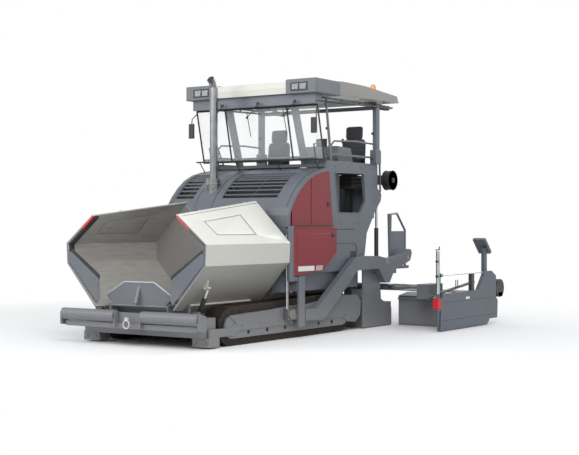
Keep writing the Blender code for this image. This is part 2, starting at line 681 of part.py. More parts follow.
def build_screens():
    glass = [(-0.245, 2.70), (-0.231, 2.70), (-0.411, 3.5545), (-0.425, 3.5545)]
    node("windscreen", prism(glass, "x", -1.18, 1.18), "glass")
    for side, sign in SIDES:
        outline = [(0.02, 2.7003), (0.05, 2.7003), (0.05, 2.79), (REAR_POST_Y - 0.0903, 2.79),
                   (REAR_POST_Y - 0.0903, 2.82), (0.045, 2.82), (-0.095, 3.66), (REAR_POST_Y - 0.0503, 3.66),
                   (REAR_POST_Y - 0.0503, 3.69), (-0.13, 3.69)]
        node(f"side_screen_{side}", prism(outline, "x", *span(sign, FRAME_OUT - 0.03, FRAME_OUT - 0.005)), "paint")


def build_console():
    stand = box((0.60, 0.82), (0.62, 0.78), (DECK_TOP + SEAT_GAP, 2.66))
    desk = prism([(0.38, 2.64), (0.72, 2.60), (0.80, 2.72), (0.74, 2.93), (0.36, 2.95), (0.32, 2.80)], "x", 0.36, 1.06)
    node("control_console", join(stand, desk), "paint")


def build_seats():
    for side, sign in SIDES:
        post = box(span(sign, 0.62, 0.90), (1.02, 1.34), (DECK_TOP + SEAT_GAP, 2.34))
        bellows = box(span(sign, 0.54, 0.98), (0.94, 1.37), (2.32, 2.50))
        squab = prism([(0.86, 2.52), (1.36, 2.48), (1.39, 2.62), (0.88, 2.66), (0.83, 2.60)], "x",
                      *span(sign, 0.51, 1.01))
        back = prism([(1.25, 2.58), (1.38, 2.58), (1.41, 3.12), (1.30, 3.14)], "x", *span(sign, 0.54, 0.98))
        rest = prism([(1.29, 3.10), (1.40, 3.08), (1.41, 3.33), (1.32, 3.34)], "x", *span(sign, 0.60, 0.92))
        node(f"seat_{side}", join(squab, bellows, post, back, rest), "seat")


def build_exhaust():
    """Chromed pipe with a bent tip, its foot cut to the hood it stands on."""
    x, y = -0.45, -0.93
    path = [(x, y, 2.10), (x, y, 3.85), (x, y - 0.012, 3.90), (x, y - 0.045, 3.95), (x, y - 0.085, 3.982)]
    stack = join(disc("z", (x, y), 0.095, 2.10, 2.42, 16), tube(path, 0.062, 16))
    hood = [(py, pz + SEAT_GAP) for py, pz in hood_line(-SEAT_GAP)] + [(HOOD_BACK, HOOD_LOW)]
    node("exhaust_stack", cut(stack, prism(hood, "x", x - 0.3, x + 0.3)), "chrome", True)


def build_hose_reel():
    arm = box((FRAME_OUT - 0.018, FRAME_OUT), (1.4703, 1.70), (2.36, 2.52))
    drum = disc("x", (1.79, 2.44), 0.16, 1.12, 1.25, 20)
    node("hose_reel", join(arm, drum), "rubber")


# ---- tow points and screed ---------------------------------------------------------------
RAIL_IN = 1.238


def build_tow_rails():
    """Guide channel of the tow point, and the door's post above it."""
    for side, sign in SIDES:
        rail = box(span(sign, RAIL_IN, HALF_TRANSPORT), (-1.09, -0.93), (0.17, 0.92))
        shapes = [
            box(span(sign, SPONSON_HALF + SEAT_GAP, RAIL_IN + 0.012), (-1.09, -0.93), (0.80, 0.92)),
            box(span(sign, RAIL_IN, HALF_TRANSPORT), (-1.337, -1.235), (0.86, 1.68)),
            box(span(sign, SPONSON_HALF + SEAT_GAP, RAIL_IN + 0.012), (-1.262, -1.22), (0.86, 0.92)),
            box(span(sign, RAIL_IN, RAIL_IN + 0.012), (-1.337, -0.93), (0.86, 0.92)),
            box(span(sign, FRAME_OUT + SEAT_GAP, RAIL_IN + 0.012), (-1.25, -1.236), (1.45, 1.64)),
        ]
        for low, high in ((0.90, DOOR_LOW - SEAT_GAP), (DOOR_TOP + SEAT_GAP, 1.68)):
            shapes.append(box(span(sign, RAIL_IN, 1.262), (-1.25, DOOR_PIN[1] + 0.008), (low, high)))
        node(f"tow_rail_{side}", join(rail, *shapes), "paint")


TONGUE_IN = 1.205


def build_tow_points():
    """Sliding carriage on the rail, with the levelling cylinder's rod above it."""
    for side, sign in SIDES:
        block = box(span(sign, ARM_IN + 0.012, RAIL_IN - 0.0005), (-1.335, TOW_Y - 0.095), (0.29, 0.44))
        tongue = box(span(sign, TONGUE_IN, RAIL_IN - 0.0005), (-1.2, TOW_Y + 0.06), (0.29, 0.41))
        wheel = disc("x", (-1.265, 0.37), 0.065, *span(sign, 1.18, 1.262), 20)
        rod = disc("z", (sign * 1.20, -1.30), 0.02, 0.40, 1.30, 12)
        node(f"tow_point_{side}", join(block, tongue, wheel, rod), "steel")


ARM_OUTLINE = [(-0.90, 0.42), (-0.58, 0.42), (0.50, 1.14), (0.58, 1.17), (0.86, 1.19), (1.30, 1.18),
               (1.62, 1.13), (2.10, 1.20), (2.32, 1.28), (2.40, 1.27), (2.43, 1.20), (2.37, 1.08), (2.03, 0.99),
               (1.82, 0.93), (1.66, 0.73), (1.52, 0.73), (1.30, 0.97), (0.62, 0.96), (-0.30, 0.29), (-0.46, 0.245),
               (-0.90, 0.26)]


def build_tow_arms():
    for side, sign in SIDES:
        arm = prism(ARM_OUTLINE, "x", *span(sign, ARM_IN, ARM_OUT))
        head_x = span(sign, ARM_IN, TONGUE_IN - 0.0005)
        head = disc("x", (TOW_Y, TOW_Z), 0.08, *head_x, 16)
        neck = box(head_x, (TOW_Y, -0.85), (TOW_Z - 0.075, TOW_Z + 0.07))
        pin = disc("x", (LIFT_Y, LIFT_LOW), 0.028, *span(sign, LIFT_X + 0.026, ARM_IN + 0.02), 12)
        node(f"tow_arm_{side}", join(arm, head, neck, pin), "paint")


def build_screed_base():
    body = [(BASE_FRONT - 0.01, 0.0), (BASE_REAR, 0.0), (BASE_REAR, 0.40), (1.45, BASE_TOP), (BASE_FRONT, 0.50), (BASE_FRONT - 0.01, 0.20)]
    base = prism(body, "x", -BASE_HALF, BASE_HALF)
    cheek = [(0.945, 0.02), (1.89, 0.02), (1.89, 0.30), (1.54, 0.46), (1.50, 0.80), (1.30, 0.965), (0.945, 0.965)]
    shapes = []
    for _, sign in SIDES:
        shapes.append(prism(cheek, "x", *span(sign, CHEEK_IN, CHEEK_OUT)))
        saddle = box(span(sign, 0.45, 0.60), (1.52, 1.86), (0.35, 0.68))
        notches = [box((-1, 1), (y - GUIDE_R - 0.0005, y + GUIDE_R + 0.0005), (GUIDE_Z - GUIDE_R - 0.0005, 0.8))
                   for y in (GUIDE_Y["left"], GUIDE_Y["right"])]
        shapes.append(cut(saddle, *notches))
        shapes.append(box(span(sign, 0.95, 1.03), (1.35, 2.30), (0.86, 0.95)))
        shapes.append(box(span(sign, 0.95, 1.03), (1.35, 1.45), (0.38, 0.90)))
    shapes.append(box((-1.10, 1.10), (1.98, 2.62), (0.94, 0.99)))
    rail = tube([(1.05, 2.03, 0.97), (1.05, 2.03, 1.87), (1.05, 2.28, 1.89), (1.05, 2.57, 1.60), (1.05, 2.57, 0.97)], 0.02, 8)
    board = box((1.044, 1.057), (2.03, 2.57), (1.13, 1.585))
    node("screed_base", join(base, *shapes, join(rail, board)), "paint")


GUIDE_Y = {"left": 1.76, "right": 1.62}


def build_extensions():
    for side, sign in SIDES:
        gate_in = HALF_PAVING - GATE_THICK - SEAT_GAP
        body = [(EXT_FRONT, 0.0), (EXT_REAR, 0.0), (EXT_REAR + 0.02, 0.12), (EXT_REAR - 0.05, 0.40), (EXT_FRONT + 0.3, 0.55), (EXT_FRONT, 0.50)]
        ext = prism(body, "x", *span(sign, EXT_IN, gate_in))
        guide = tube([(sign * 0.49, GUIDE_Y[side], GUIDE_Z), (sign * 1.86, GUIDE_Y[side], GUIDE_Z)], GUIDE_R, 16)
        bracket = box(span(sign, 1.83, 2.05), (GUIDE_Y["right"] - 0.07, 2.05), (0.48, 0.72))
        lower = tube([(sign * 1.95, 1.70, 0.52), (sign * gate_in, 1.70, 0.52)], 0.03, 10)
        node(f"screed_extension_{side}", join(ext, bracket, guide, lower), "paint")


def build_end_gates():
    outline = [(1.10, 0.01), (2.80, 0.01), (2.89, 0.06), (2.90, 0.10), (3.22, 0.10), (3.24, 0.40), (3.16, 0.46),
               (3.17, 0.82), (3.00, 0.91), (2.75, 0.91), (2.48, 0.61), (1.19, 0.59), (1.12, 0.45)]
    for side, sign in SIDES:
        x = sign * (HALF_PAVING - 0.03)
        gate = prism(outline, "x", *span(sign, HALF_PAVING - GATE_THICK, HALF_PAVING))
        jack = disc("z", (x, 1.06), 0.028, 0.33, 1.28, 12)
        blocks = box(span(sign, 2.41, HALF_PAVING), (1.00, 1.13), (0.36, 0.53))
        foot = box(span(sign, 2.40, HALF_PAVING), (0.99, 1.15), (0.335, 0.35))
        spike = cone((x, 1.06), 0.02, 0.34, 0.012, 0.03, 10)
        post = box(span(sign, 2.40, 2.46), (2.79, 2.89), (0.85, 1.30))
        slant = [(2.70, 1.44), (2.95, 1.20), (2.99, 1.24), (2.75, 1.47)]
        panel = prism(slant, "x", *span(sign, 2.28, HALF_PAVING))
        drum = disc("x", (HALF_LENGTH - 0.155, 0.60), 0.155, *span(sign, 2.36, HALF_PAVING - 0.01), 20)
        shelf = box(span(sign, 2.45, HALF_PAVING - 0.02), (3.1, 3.3), (0.5, 0.7))
        node(f"end_gate_{side}", join(gate, blocks, foot, jack, spike, post, panel, shelf, drum), "paint")


def build_lift_cylinders():
    """Barrel standing on the tow arm's pin, and the rod up to the lug behind the deck."""
    barrel_top = 1.64
    for side, sign in SIDES:
        centre = (sign * LIFT_X, LIFT_Y)
        barrel = disc("z", centre, 0.036, LIFT_LOW + 0.06, barrel_top, 14)
        neck = disc("z", centre, 0.022, LIFT_LOW + 0.01, LIFT_LOW + 0.08, 10)
        eye = disc("x", (LIFT_Y, LIFT_LOW), 0.03, *span(sign, LIFT_X - 0.02, LIFT_X + 0.0255), 12)
        hollow = disc("z", centre, 0.023, LIFT_LOW + 0.09, barrel_top + 0.05, 12)
        node(f"lift_barrel_{side}", cut(join(barrel, neck, eye), hollow), "rubber", True)
        rod = disc("z", centre, 0.0225, 1.53, LIFT_HIGH - 0.01, 12)
        top = disc("x", (LIFT_Y, LIFT_HIGH), 0.035, *span(sign, LIFT_X - 0.045, LIFT_X + 0.03), 12)
        node(f"lift_rod_{side}", join(rod, top), "chrome", True)


# ---- augers -------------------------------------------------------------------------------
def flight(x_low, x_high, turns, hand):
    """The screw's blade: a helical strip with thickness, from the shaft to its rim."""
    steps = int(turns * 14)
    inner, outer, thick = 0.035, AUGER_R, 0.014
    vertices = []
    for i in range(steps + 1):
        angle = hand * 2 * math.pi * turns * i / steps
        x = x_low + (x_high - x_low) * i / steps
        for radius, shift in ((inner, -thick), (outer, -thick), (outer, thick), (inner, thick)):
            vertices.append((x + shift / 2, AUGER_Y + radius * math.cos(angle), AUGER_Z + radius * math.sin(angle)))
    faces = [(3, 2, 1, 0), tuple(4 * steps + k for k in range(4))]
    for i in range(steps):
        a = 4 * i
        for k in range(4):
            j = (k + 1) % 4
            faces.append((a + k, a + j, a + 4 + j, a + 4 + k))
    return as_object("flight", vertices, faces)


def build_augers():
    for side, sign in SIDES:
        low, high = span(sign, 0.085 + SEAT_GAP, 1.10)
        shaft = disc("x", (AUGER_Y, AUGER_Z), 0.055, low, high, 12)
        blade = flight(low + 0.03, high - 0.03, 2.75, sign)
        node(f"auger_{side}", join(shaft, blade), "steel")


def build_all():
    clear_scene()
    build_tracks()
    build_track_frames()
    build_main_frame()
    build_hopper_floor()
    build_wings()
    build_wing_cylinders()
    build_apron()
    build_push_beam()
    build_push_rollers()
    build_hood()
    build_engine()
    build_upper_panels()
    build_side_doors()
    build_side_frames()
    build_deck()
    build_roof()
    build_front_posts()
    build_rear_posts()
    build_screens()
    build_console()
    build_seats()
    build_exhaust()
    build_hose_reel()
    build_tow_rails()
    build_tow_points()
    build_tow_arms()
    build_screed_base()
    build_extensions()
    build_end_gates()
    build_lift_cylinders()
    build_augers()


build_all()
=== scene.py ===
import math
import random

import bmesh
import bpy
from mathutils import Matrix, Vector


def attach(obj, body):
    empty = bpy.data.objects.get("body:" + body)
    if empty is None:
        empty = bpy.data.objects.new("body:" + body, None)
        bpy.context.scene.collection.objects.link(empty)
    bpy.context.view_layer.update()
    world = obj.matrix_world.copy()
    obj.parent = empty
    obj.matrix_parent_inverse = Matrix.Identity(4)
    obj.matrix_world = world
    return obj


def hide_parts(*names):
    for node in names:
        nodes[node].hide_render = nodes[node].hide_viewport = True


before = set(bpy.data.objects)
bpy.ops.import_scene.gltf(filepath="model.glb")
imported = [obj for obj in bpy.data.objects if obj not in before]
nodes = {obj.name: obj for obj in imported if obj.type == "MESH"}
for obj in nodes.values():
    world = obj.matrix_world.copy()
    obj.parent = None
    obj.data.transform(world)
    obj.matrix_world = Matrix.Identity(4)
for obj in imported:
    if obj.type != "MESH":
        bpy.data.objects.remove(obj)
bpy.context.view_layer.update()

SIDES = (("left", 1), ("right", -1))

# ---- Ground, light and camera --------------------------------------------------------------
# The machine stands on a plain pale floor under a soft sky.
# One large lamp stands high at the front left, with a weaker one behind the machine.
camera_data = bpy.data.cameras.new("camera")
camera_data.lens = 77.37
camera_data.sensor_width = 36
camera_data.clip_end = 300
camera = bpy.data.objects.new("camera", camera_data)
camera.location = (11.520, -16.515, 1.7167)
camera.rotation_euler = (math.radians(90 - 0.1895), 0, math.radians(34.0445))
bpy.context.scene.collection.objects.link(camera)
bpy.context.scene.camera = camera
bpy.context.scene.view_settings.view_transform = "Standard"

for name, place, aim, size, power in (("key_lamp", (7, -9, 9), (0, -1, 1.2), 7, 900),
                                      ("front_lamp", (-6, -10, 6), (0, -1, 1.2), 6, 420),
                                      ("rear_lamp", (3, 10, 8), (0, 1, 1.5), 7, 420)):
    lamp_data = bpy.data.lights.new(name, "AREA")
    lamp_data.size = size
    lamp_data.energy = power
    lamp = bpy.data.objects.new(name, lamp_data)
    lamp.location = place
    lamp.rotation_euler = (Vector(aim) - Vector(place)).to_track_quat("-Z", "Y").to_euler()
    bpy.context.scene.collection.objects.link(lamp)

world = bpy.data.worlds.new("sky")
bpy.context.scene.world = world
world.use_nodes = True
sky = world.node_tree
sky.nodes.clear()
rays = sky.nodes.new("ShaderNodeLightPath")
soft = sky.nodes.new("ShaderNodeBackground")
soft.inputs["Color"].default_value = (0.93, 0.96, 1.0, 1)
soft.inputs["Strength"].default_value = 0.62
white = sky.nodes.new("ShaderNodeBackground")
white.inputs["Color"].default_value = (1, 1, 1, 1)
white.inputs["Strength"].default_value = 1.0
seen = rays.outputs["Is Camera Ray"]
for kind in ("Is Glossy Ray", "Is Transmission Ray"):
    either = sky.nodes.new("ShaderNodeMath")
    either.operation = "MAXIMUM"
    sky.links.new(seen, either.inputs[0])
    sky.links.new(rays.outputs[kind], either.inputs[1])
    seen = either.outputs[0]
blend = sky.nodes.new("ShaderNodeMixShader")
out = sky.nodes.new("ShaderNodeOutputWorld")
sky.links.new(seen, blend.inputs[0])
sky.links.new(soft.outputs[0], blend.inputs[1])
sky.links.new(white.outputs[0], blend.inputs[2])
sky.links.new(blend.outputs[0], out.inputs[0])

bpy.ops.mesh.primitive_plane_add(size=400)
floor = bpy.context.object
floor.name = "floor"
floor_finish = bpy.data.materials.new("pale_floor")
floor_finish.use_nodes = True
floor_shader = floor_finish.node_tree.nodes["Principled BSDF"]
floor_shader.inputs["Base Color"].default_value = (0.86, 0.86, 0.86, 1)
floor_shader.inputs["Roughness"].default_value = 0.9
ground = floor_finish.node_tree
spot = ground.nodes.new("ShaderNodeTexCoord")
reach = ground.nodes.new("ShaderNodeVectorMath")
reach.operation = "LENGTH"
ground.links.new(spot.outputs["Object"], reach.inputs[0])
fade = ground.nodes.new("ShaderNodeMapRange")
fade.inputs["From Min"].default_value = 4.0
fade.inputs["From Max"].default_value = 9.0
ground.links.new(reach.outputs["Value"], fade.inputs["Value"])
glow = ground.nodes.new("ShaderNodeEmission")
glow.inputs["Strength"].default_value = 1.0
floor_rays = ground.nodes.new("ShaderNodeLightPath")
far_seen = ground.nodes.new("ShaderNodeMath")
far_seen.operation = "MULTIPLY"
ground.links.new(fade.outputs["Result"], far_seen.inputs[0])
ground.links.new(floor_rays.outputs["Is Camera Ray"], far_seen.inputs[1])
floor_mix = ground.nodes.new("ShaderNodeMixShader")
ground.links.new(far_seen.outputs[0], floor_mix.inputs[0])
ground.links.new(floor_shader.outputs[0], floor_mix.inputs[1])
ground.links.new(glow.outputs[0], floor_mix.inputs[2])
ground.links.new(floor_mix.outputs[0], ground.nodes["Material Output"].inputs["Surface"])
floor.data.materials.append(floor_finish)


# ---- Frame and chassis ---------------------------------------------------------------------
# Welded steel plate, shot blasted and sprayed in satin grey-blue two-pack paint.
# Edges rub through to a paler tone, and dust settles on the lower half.
class Value:
    """A socket in a material. Arithmetic on it adds Math nodes."""

    def __init__(self, tree, socket):
        self.tree = tree
        self.socket = socket

    def math(self, operation, a, b):
        node = self.tree.nodes.new("ShaderNodeMath")
        node.operation = operation
        for slot, item in zip(node.inputs, (a, b)):
            if isinstance(item, Value):
                self.tree.links.new(item.socket, slot)
            else:
                slot.default_value = item
        return Value(self.tree, node.outputs[0])

    def __add__(self, other):
        return self.math("ADD", self, other)

    def __radd__(self, other):
        return self.math("ADD", other, self)

    def __sub__(self, other):
        return self.math("SUBTRACT", self, other)

    def __rsub__(self, other):
        return self.math("SUBTRACT", other, self)

    def __mul__(self, other):
        return self.math("MULTIPLY", self, other)

    def __rmul__(self, other):
        return self.math("MULTIPLY", other, self)

    def __lt__(self, other):
        return self.math("LESS_THAN", self, other)

    def __gt__(self, other):
        return self.math("GREATER_THAN", self, other)

    def limited(self):
        return self.math("MINIMUM", self.math("MAXIMUM", self, 0.0), 1.0)


class Finish:
    """A surface finish: one Principled shader, and the nodes that vary it."""

    def __init__(self, name, colour, roughness, metallic=0.0, **fixed):
        self.material = bpy.data.materials.new(name)
        self.material.use_nodes = True
        self.tree = self.material.node_tree
        self.shader = self.tree.nodes["Principled BSDF"]
        self.shader.inputs["Base Color"].default_value = (*colour, 1)
        self.shader.inputs["Roughness"].default_value = roughness
        self.shader.inputs["Metallic"].default_value = metallic
        for socket, amount in fixed.items():
            self.shader.inputs[socket.replace("_", " ")].default_value = amount

    def node(self, kind, settings, values, output=0):
        made = self.tree.nodes.new("ShaderNode" + kind)
        for key, item in settings.items():
            setattr(made, key, item)
        for key, item in values.items():
            if isinstance(item, Value):
                self.tree.links.new(item.socket, made.inputs[key])
            elif isinstance(item, tuple) and made.inputs[key].type == "RGBA":
                made.inputs[key].default_value = (*item, 1)
            else:
                made.inputs[key].default_value = item
        return Value(self.tree, made.outputs[output])

    def place(self, axis=None):
        """Position on the piece in metres, or one of its three numbers."""
        spot = self.node("TexCoord", {}, {}, "Object")
        return spot if axis is None else self.node("SeparateXYZ", {}, {0: spot}, axis)

    def facing(self, axis):
        normal = self.node("TexCoord", {}, {}, "Normal")
        return self.node("SeparateXYZ", {}, {0: normal}, axis)

    def noise(self, scale, detail=3.0):
        return self.node("TexNoise", {}, {"Vector": self.place(), "Scale": scale, "Detail": detail})

    def mix(self, share, a, b):
        return self.node("Mix", {"data_type": "RGBA"}, {0: share, 6: a, 7: b}, 2)

    def feed(self, **links):
        for socket, item in links.items():
            self.tree.links.new(item.socket, self.shader.inputs[socket.replace("_", " ")])

    def rounded(self, radius):
        """The normal with edges rounded off, and how near an edge the point is."""
        soft_edge = self.node("Bevel", {"samples": 4}, {"Radius": radius})
        flat = self.node("NewGeometry", {}, {}, "Normal")
        same = self.node("VectorMath", {"operation": "DOT_PRODUCT"}, {0: soft_edge, 1: flat}, "Value")
        return soft_edge, ((1 - same) * 6.0).limited()

    def grain(self, height, strength, distance, normal):
        return self.node("Bump", {}, {"Strength": strength, "Distance": distance, "Height": height, "Normal": normal})


DUST = (0.36, 0.33, 0.29)


def painted(name, colour, roughness, dust=0.45, dust_top=0.9, coat=0.0, worn=None, edge=0.006):
    """Sprayed steel: clouded tone, paler rubbed edges, and dust that thins with height."""
    finish = Finish(name, colour, roughness, Coat_Weight=coat, Coat_Roughness=0.08)
    soft_edge, near_edge = finish.rounded(edge)
    clouds = finish.noise(1.7)
    speckle = finish.noise(38.0, 6.0)
    deep = tuple(c * 0.80 for c in colour)
    tone = finish.mix((clouds * 1.6 - 0.3).limited(), colour, deep)
    rubbed = worn or tuple(min(1.0, c * 1.45 + 0.05) for c in colour)
    tone = finish.mix((near_edge * (speckle * 1.6 - 0.25)).limited(), tone, rubbed)
    low = ((dust_top - finish.place("Z")) * (1 / dust_top)).limited()
    settled = (low * (speckle * 0.7 + clouds * 0.9) * dust).limited()
    tone = finish.mix(settled, tone, DUST)
    finish.feed(Base_Color=tone, Roughness=(settled * 0.35 + speckle * 0.10 + (roughness - 0.05)).limited(),
                Normal=finish.grain(speckle, 0.05, 0.002, soft_edge))
    return finish.material


machine_grey = painted("machine_grey", (0.125, 0.140, 0.163), 0.40)


def dress(material, *names):
    for name in names:
        nodes[name].data.materials.clear()
        nodes[name].data.materials.append(material)


dress(machine_grey, "main_frame", "push_beam", "front_apron", "operator_deck", "engine_hood", "screed_base")
for side, sign in SIDES:
    dress(machine_grey, f"track_frame_{side}", f"side_frame_{side}", f"tow_arm_{side}", f"tow_rail_{side}",
          f"screed_extension_{side}", f"end_gate_{side}", f"push_roller_{side}")


class Shape:
    """Sawn, turned and bent stock gathered into one piece."""

    def __init__(self):
        self.mesh = bmesh.new()

    def loops(self, rings, closed_ends=True):
        made = [[self.mesh.verts.new(point) for point in ring] for ring in rings]
        count = len(made[0])
        for a, b in zip(made, made[1:]):
            for i in range(count):
                j = (i + 1) % count
                self.mesh.faces.new((a[i], a[j], b[j], b[i]))
        if closed_ends:
            self.mesh.faces.new(made[0][::-1])
            self.mesh.faces.new(made[-1])
        return self

    def prism(self, outline, axis, low, high):
        place = {"x": lambda u, v, w: (w, u, v), "y": lambda u, v, w: (u, w, v), "z": lambda u, v, w: (u, v, w)}[axis]
        return self.loops([[place(u, v, w) for u, v in outline] for w in (min(low, high), max(low, high))])

    def block(self, x, y, z):
        return self.prism([(x[0], y[0]), (x[1], y[0]), (x[1], y[1]), (x[0], y[1])], "z", *z)

    def disc(self, axis, centre, radius, low, high, steps=24, hole=0.0):
        turn = [2 * math.pi * i / steps for i in range(steps)]
        rim = [(centre[0] + radius * math.cos(t), centre[1] + radius * math.sin(t)) for t in turn]
        if not hole:
            return self.prism(rim, axis, low, high)
        inner = [(centre[0] + hole * math.cos(t), centre[1] + hole * math.sin(t)) for t in turn]
        place = {"x": lambda u, v, w: (w, u, v), "y": lambda u, v, w: (u, w, v), "z": lambda u, v, w: (u, v, w)}[axis]
        rings = [[place(u, v, w) for u, v in ring] for ring, w in
                 ((inner, low), (rim, low), (rim, high), (inner, high), (inner, low))]
        return self.loops(rings, False)

    def rod(self, points, radius, steps=12):
        points = [Vector(p) for p in points]
        side = None
        rings = []
        for i, here in enumerate(points):
            ahead = (points[min(i + 1, len(points) - 1)] - points[max(i - 1, 0)]).normalized()
            if side is None:
                side = ahead.orthogonal().normalized()
            side = (side - ahead * side.dot(ahead)).normalized()
            up = ahead.cross(side)
            rings.append([here + radius * (side * math.cos(2 * math.pi * k / steps) + up * math.sin(2 * math.pi * k / steps))
                          for k in range(steps)])
        return self.loops(rings)

    def done(self, name, body, material, slot="paint", edge=0.003, smooth=True):
        bmesh.ops.remove_doubles(self.mesh, verts=self.mesh.verts, dist=1e-6)
        bmesh.ops.recalc_face_normals(self.mesh, faces=self.mesh.faces)
        data = bpy.data.meshes.new(name)
        self.mesh.to_mesh(data)
        self.mesh.free()
        data.materials.append(material)
        made = bpy.data.objects.new(name, data)
        bpy.context.scene.collection.objects.link(made)
        if edge:
            bevel = made.modifiers.new("edges", "BEVEL")
            bevel.width = edge
            bevel.segments = 2
            bevel.limit_method = "ANGLE"
            bevel.angle_limit = math.radians(40)
        if smooth:
            for face in data.polygons:
                face.use_smooth = True
            data.set_sharp_from_angle(angle=math.radians(40))
        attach(made, body)
        return made


def bolts(shape, places, axis, low, high, radius=0.014):
    for place in places:
        shape.disc(axis, place, radius * 1.5, low, low + (high - low) * 0.3, 16)
        shape.disc(axis, place, radius, low, high, 6)
    return shape


# ---- Crawler tracks ------------------------------------------------------------------------
# Forged steel chain with bolted shoes, brown with rust and polished where the shoes touch ground.
# The side plate carries four lower rollers, which show below it.
IDLER = (-2.58, 0.27)
SPROCKET = (0.33, 0.31)
SHOE_COUNT = 46
track_steel = Finish("track_steel", (0.085, 0.055, 0.042), 0.6, 0.55)
track_edge, track_near = track_steel.rounded(0.005)
rust = track_steel.noise(14.0, 8.0)
track_tone = track_steel.mix((rust * 1.8 - 0.5).limited(), (0.016, 0.013, 0.012), (0.060, 0.038, 0.027))
track_tone = track_steel.mix((track_near * rust * 1.5).limited(), track_tone, (0.20, 0.18, 0.165))
track_steel.feed(Base_Color=track_tone, Roughness=rust * 0.5 + 0.35,
                 Normal=track_steel.grain(rust, 0.5, 0.004, track_edge))


def belt_point(distance, inset):
    """Point and outward direction at a distance round the belt, from below the idler."""
    (y0, r0), (y1, r1) = IDLER, SPROCKET
    straight = y1 - y0
    stretches = (("low", straight), ("back", math.pi * r1), ("top", straight), ("front", math.pi * r0))
    for name, length in stretches:
        if distance <= length:
            break
        distance -= length
    share = distance / length
    if name == "low":
        return (y0 + straight * share, inset), (0, -1)
    if name == "back":
        turn = -math.pi / 2 + math.pi * share
        return (y1 + (r1 - inset) * math.cos(turn), r1 + (r1 - inset) * math.sin(turn)), (math.cos(turn), math.sin(turn))
    if name == "top":
        top = 2 * r1 + (2 * r0 - 2 * r1) * share
        return (y1 - straight * share, top - inset), (0, 1)
    turn = math.pi / 2 + math.pi * share
    return (y0 + (r0 - inset) * math.cos(turn), r0 + (r0 - inset) * math.sin(turn)), (math.cos(turn), math.sin(turn))


belt_length = 2 * (SPROCKET[0] - IDLER[0]) + math.pi * (IDLER[1] + SPROCKET[1])
for side, sign in SIDES:
    dress(track_steel.material, f"track_{side}")
    chain = Shape()
    for i in range(SHOE_COUNT):
        (y, z), (oy, oz) = belt_point((i + 0.5) / SHOE_COUNT * belt_length, 0.058)
        for x in (0.925, 0.99):
            lug = [(y - oz * 0.028 + oy * 0.026, z + oy * 0.028 + oz * 0.026), (y + oz * 0.028 + oy * 0.026, z - oy * 0.028 + oz * 0.026),
                   (y + oz * 0.022 - oy * 0.046, z - oy * 0.022 - oz * 0.046), (y - oz * 0.022 - oy * 0.046, z + oy * 0.022 - oz * 0.046)]
            chain.prism(lug, "x", sign * (x - 0.011), sign * (x + 0.011))
        chain.disc("x", (y, z), 0.013, sign * 0.822, sign * 1.111, 10)
    chain.done(f"track_chain_{side}", "tractor", track_steel.material, "track", 0)
    rollers = Shape()
    for y in (-2.20, -1.74, -1.28, -0.82, -0.36, 0.02):
        rollers.disc("x", (y, 0.178), 0.068, sign * 1.107, sign * 1.128, 28)
        rollers.disc("x", (y, 0.178), 0.030, sign * 1.12, sign * 1.150, 20)
    for y, z, radius in ((*IDLER, 0.20), (*SPROCKET, 0.22)):
        rollers.disc("x", (y, z), radius, sign * 1.106, sign * 1.112, 40, radius * 0.55)
    rollers.done(f"track_rollers_{side}", "tractor", track_steel.material, "track", 0.003)
    plate_bolts = Shape()
    bolts(plate_bolts, [(y, 0.44) for y in (-2.30, -1.95, -1.60)] + [(y, 0.285) for y in (-2.36, -1.9, -1.44, -0.98, -0.52)]
          + [(0.30, 0.50), (0.52, 0.50), (0.74, 0.44), (0.80, 0.28), (0.60, 0.20), (0.40, 0.27), (-0.10, 0.44)],
          "x", sign * 1.155, sign * 1.166, 0.011)
    plate_bolts.done(f"plate_bolts_{side}", "tractor", machine_grey, edge=0)

# ---- Hopper wings --------------------------------------------------------------------------
# Folded and welded steel plate. The outside is off-white; the inside is bare grey-beige, and
# scuffed by mix. A dark seal runs under a pale rim along the top edge. Painted shade darkens
# the outside's upright and downward faces, and the rear wall inside.
liner_rubber = Finish("liner_rubber", (0.012, 0.012, 0.013), 0.5)
rubber_edge, rubber_near = liner_rubber.rounded(0.003)
rubber_dirt = liner_rubber.noise(9.0, 5.0)
liner_rubber.feed(Base_Color=liner_rubber.mix((rubber_dirt * 0.9 - 0.3).limited(), (0.012, 0.012, 0.013), (0.06, 0.057, 0.052)),
                  Roughness=rubber_dirt * 0.35 + 0.32, Normal=liner_rubber.grain(rubber_dirt, 0.08, 0.002, rubber_edge))
black = liner_rubber.material
red_lens = Finish("red_reflector", (0.62, 0.012, 0.015), 0.18, Coat_Weight=1.0)
lens_cells = red_lens.node("TexVoronoi", {}, {"Vector": red_lens.place(), "Scale": 120.0})
red_lens.feed(Normal=red_lens.node("Bump", {}, {"Strength": 0.4, "Distance": 0.002, "Height": lens_cells}))

WING_LOW = (1.248, 1.148)
WING_HIGH = (1.262, 1.42)
WING_TIP = (0.766, 1.82)
WING_TIP_REAR = (0.650, 2.035)
WING_FRONT = -3.35
WING_REAR = -1.345


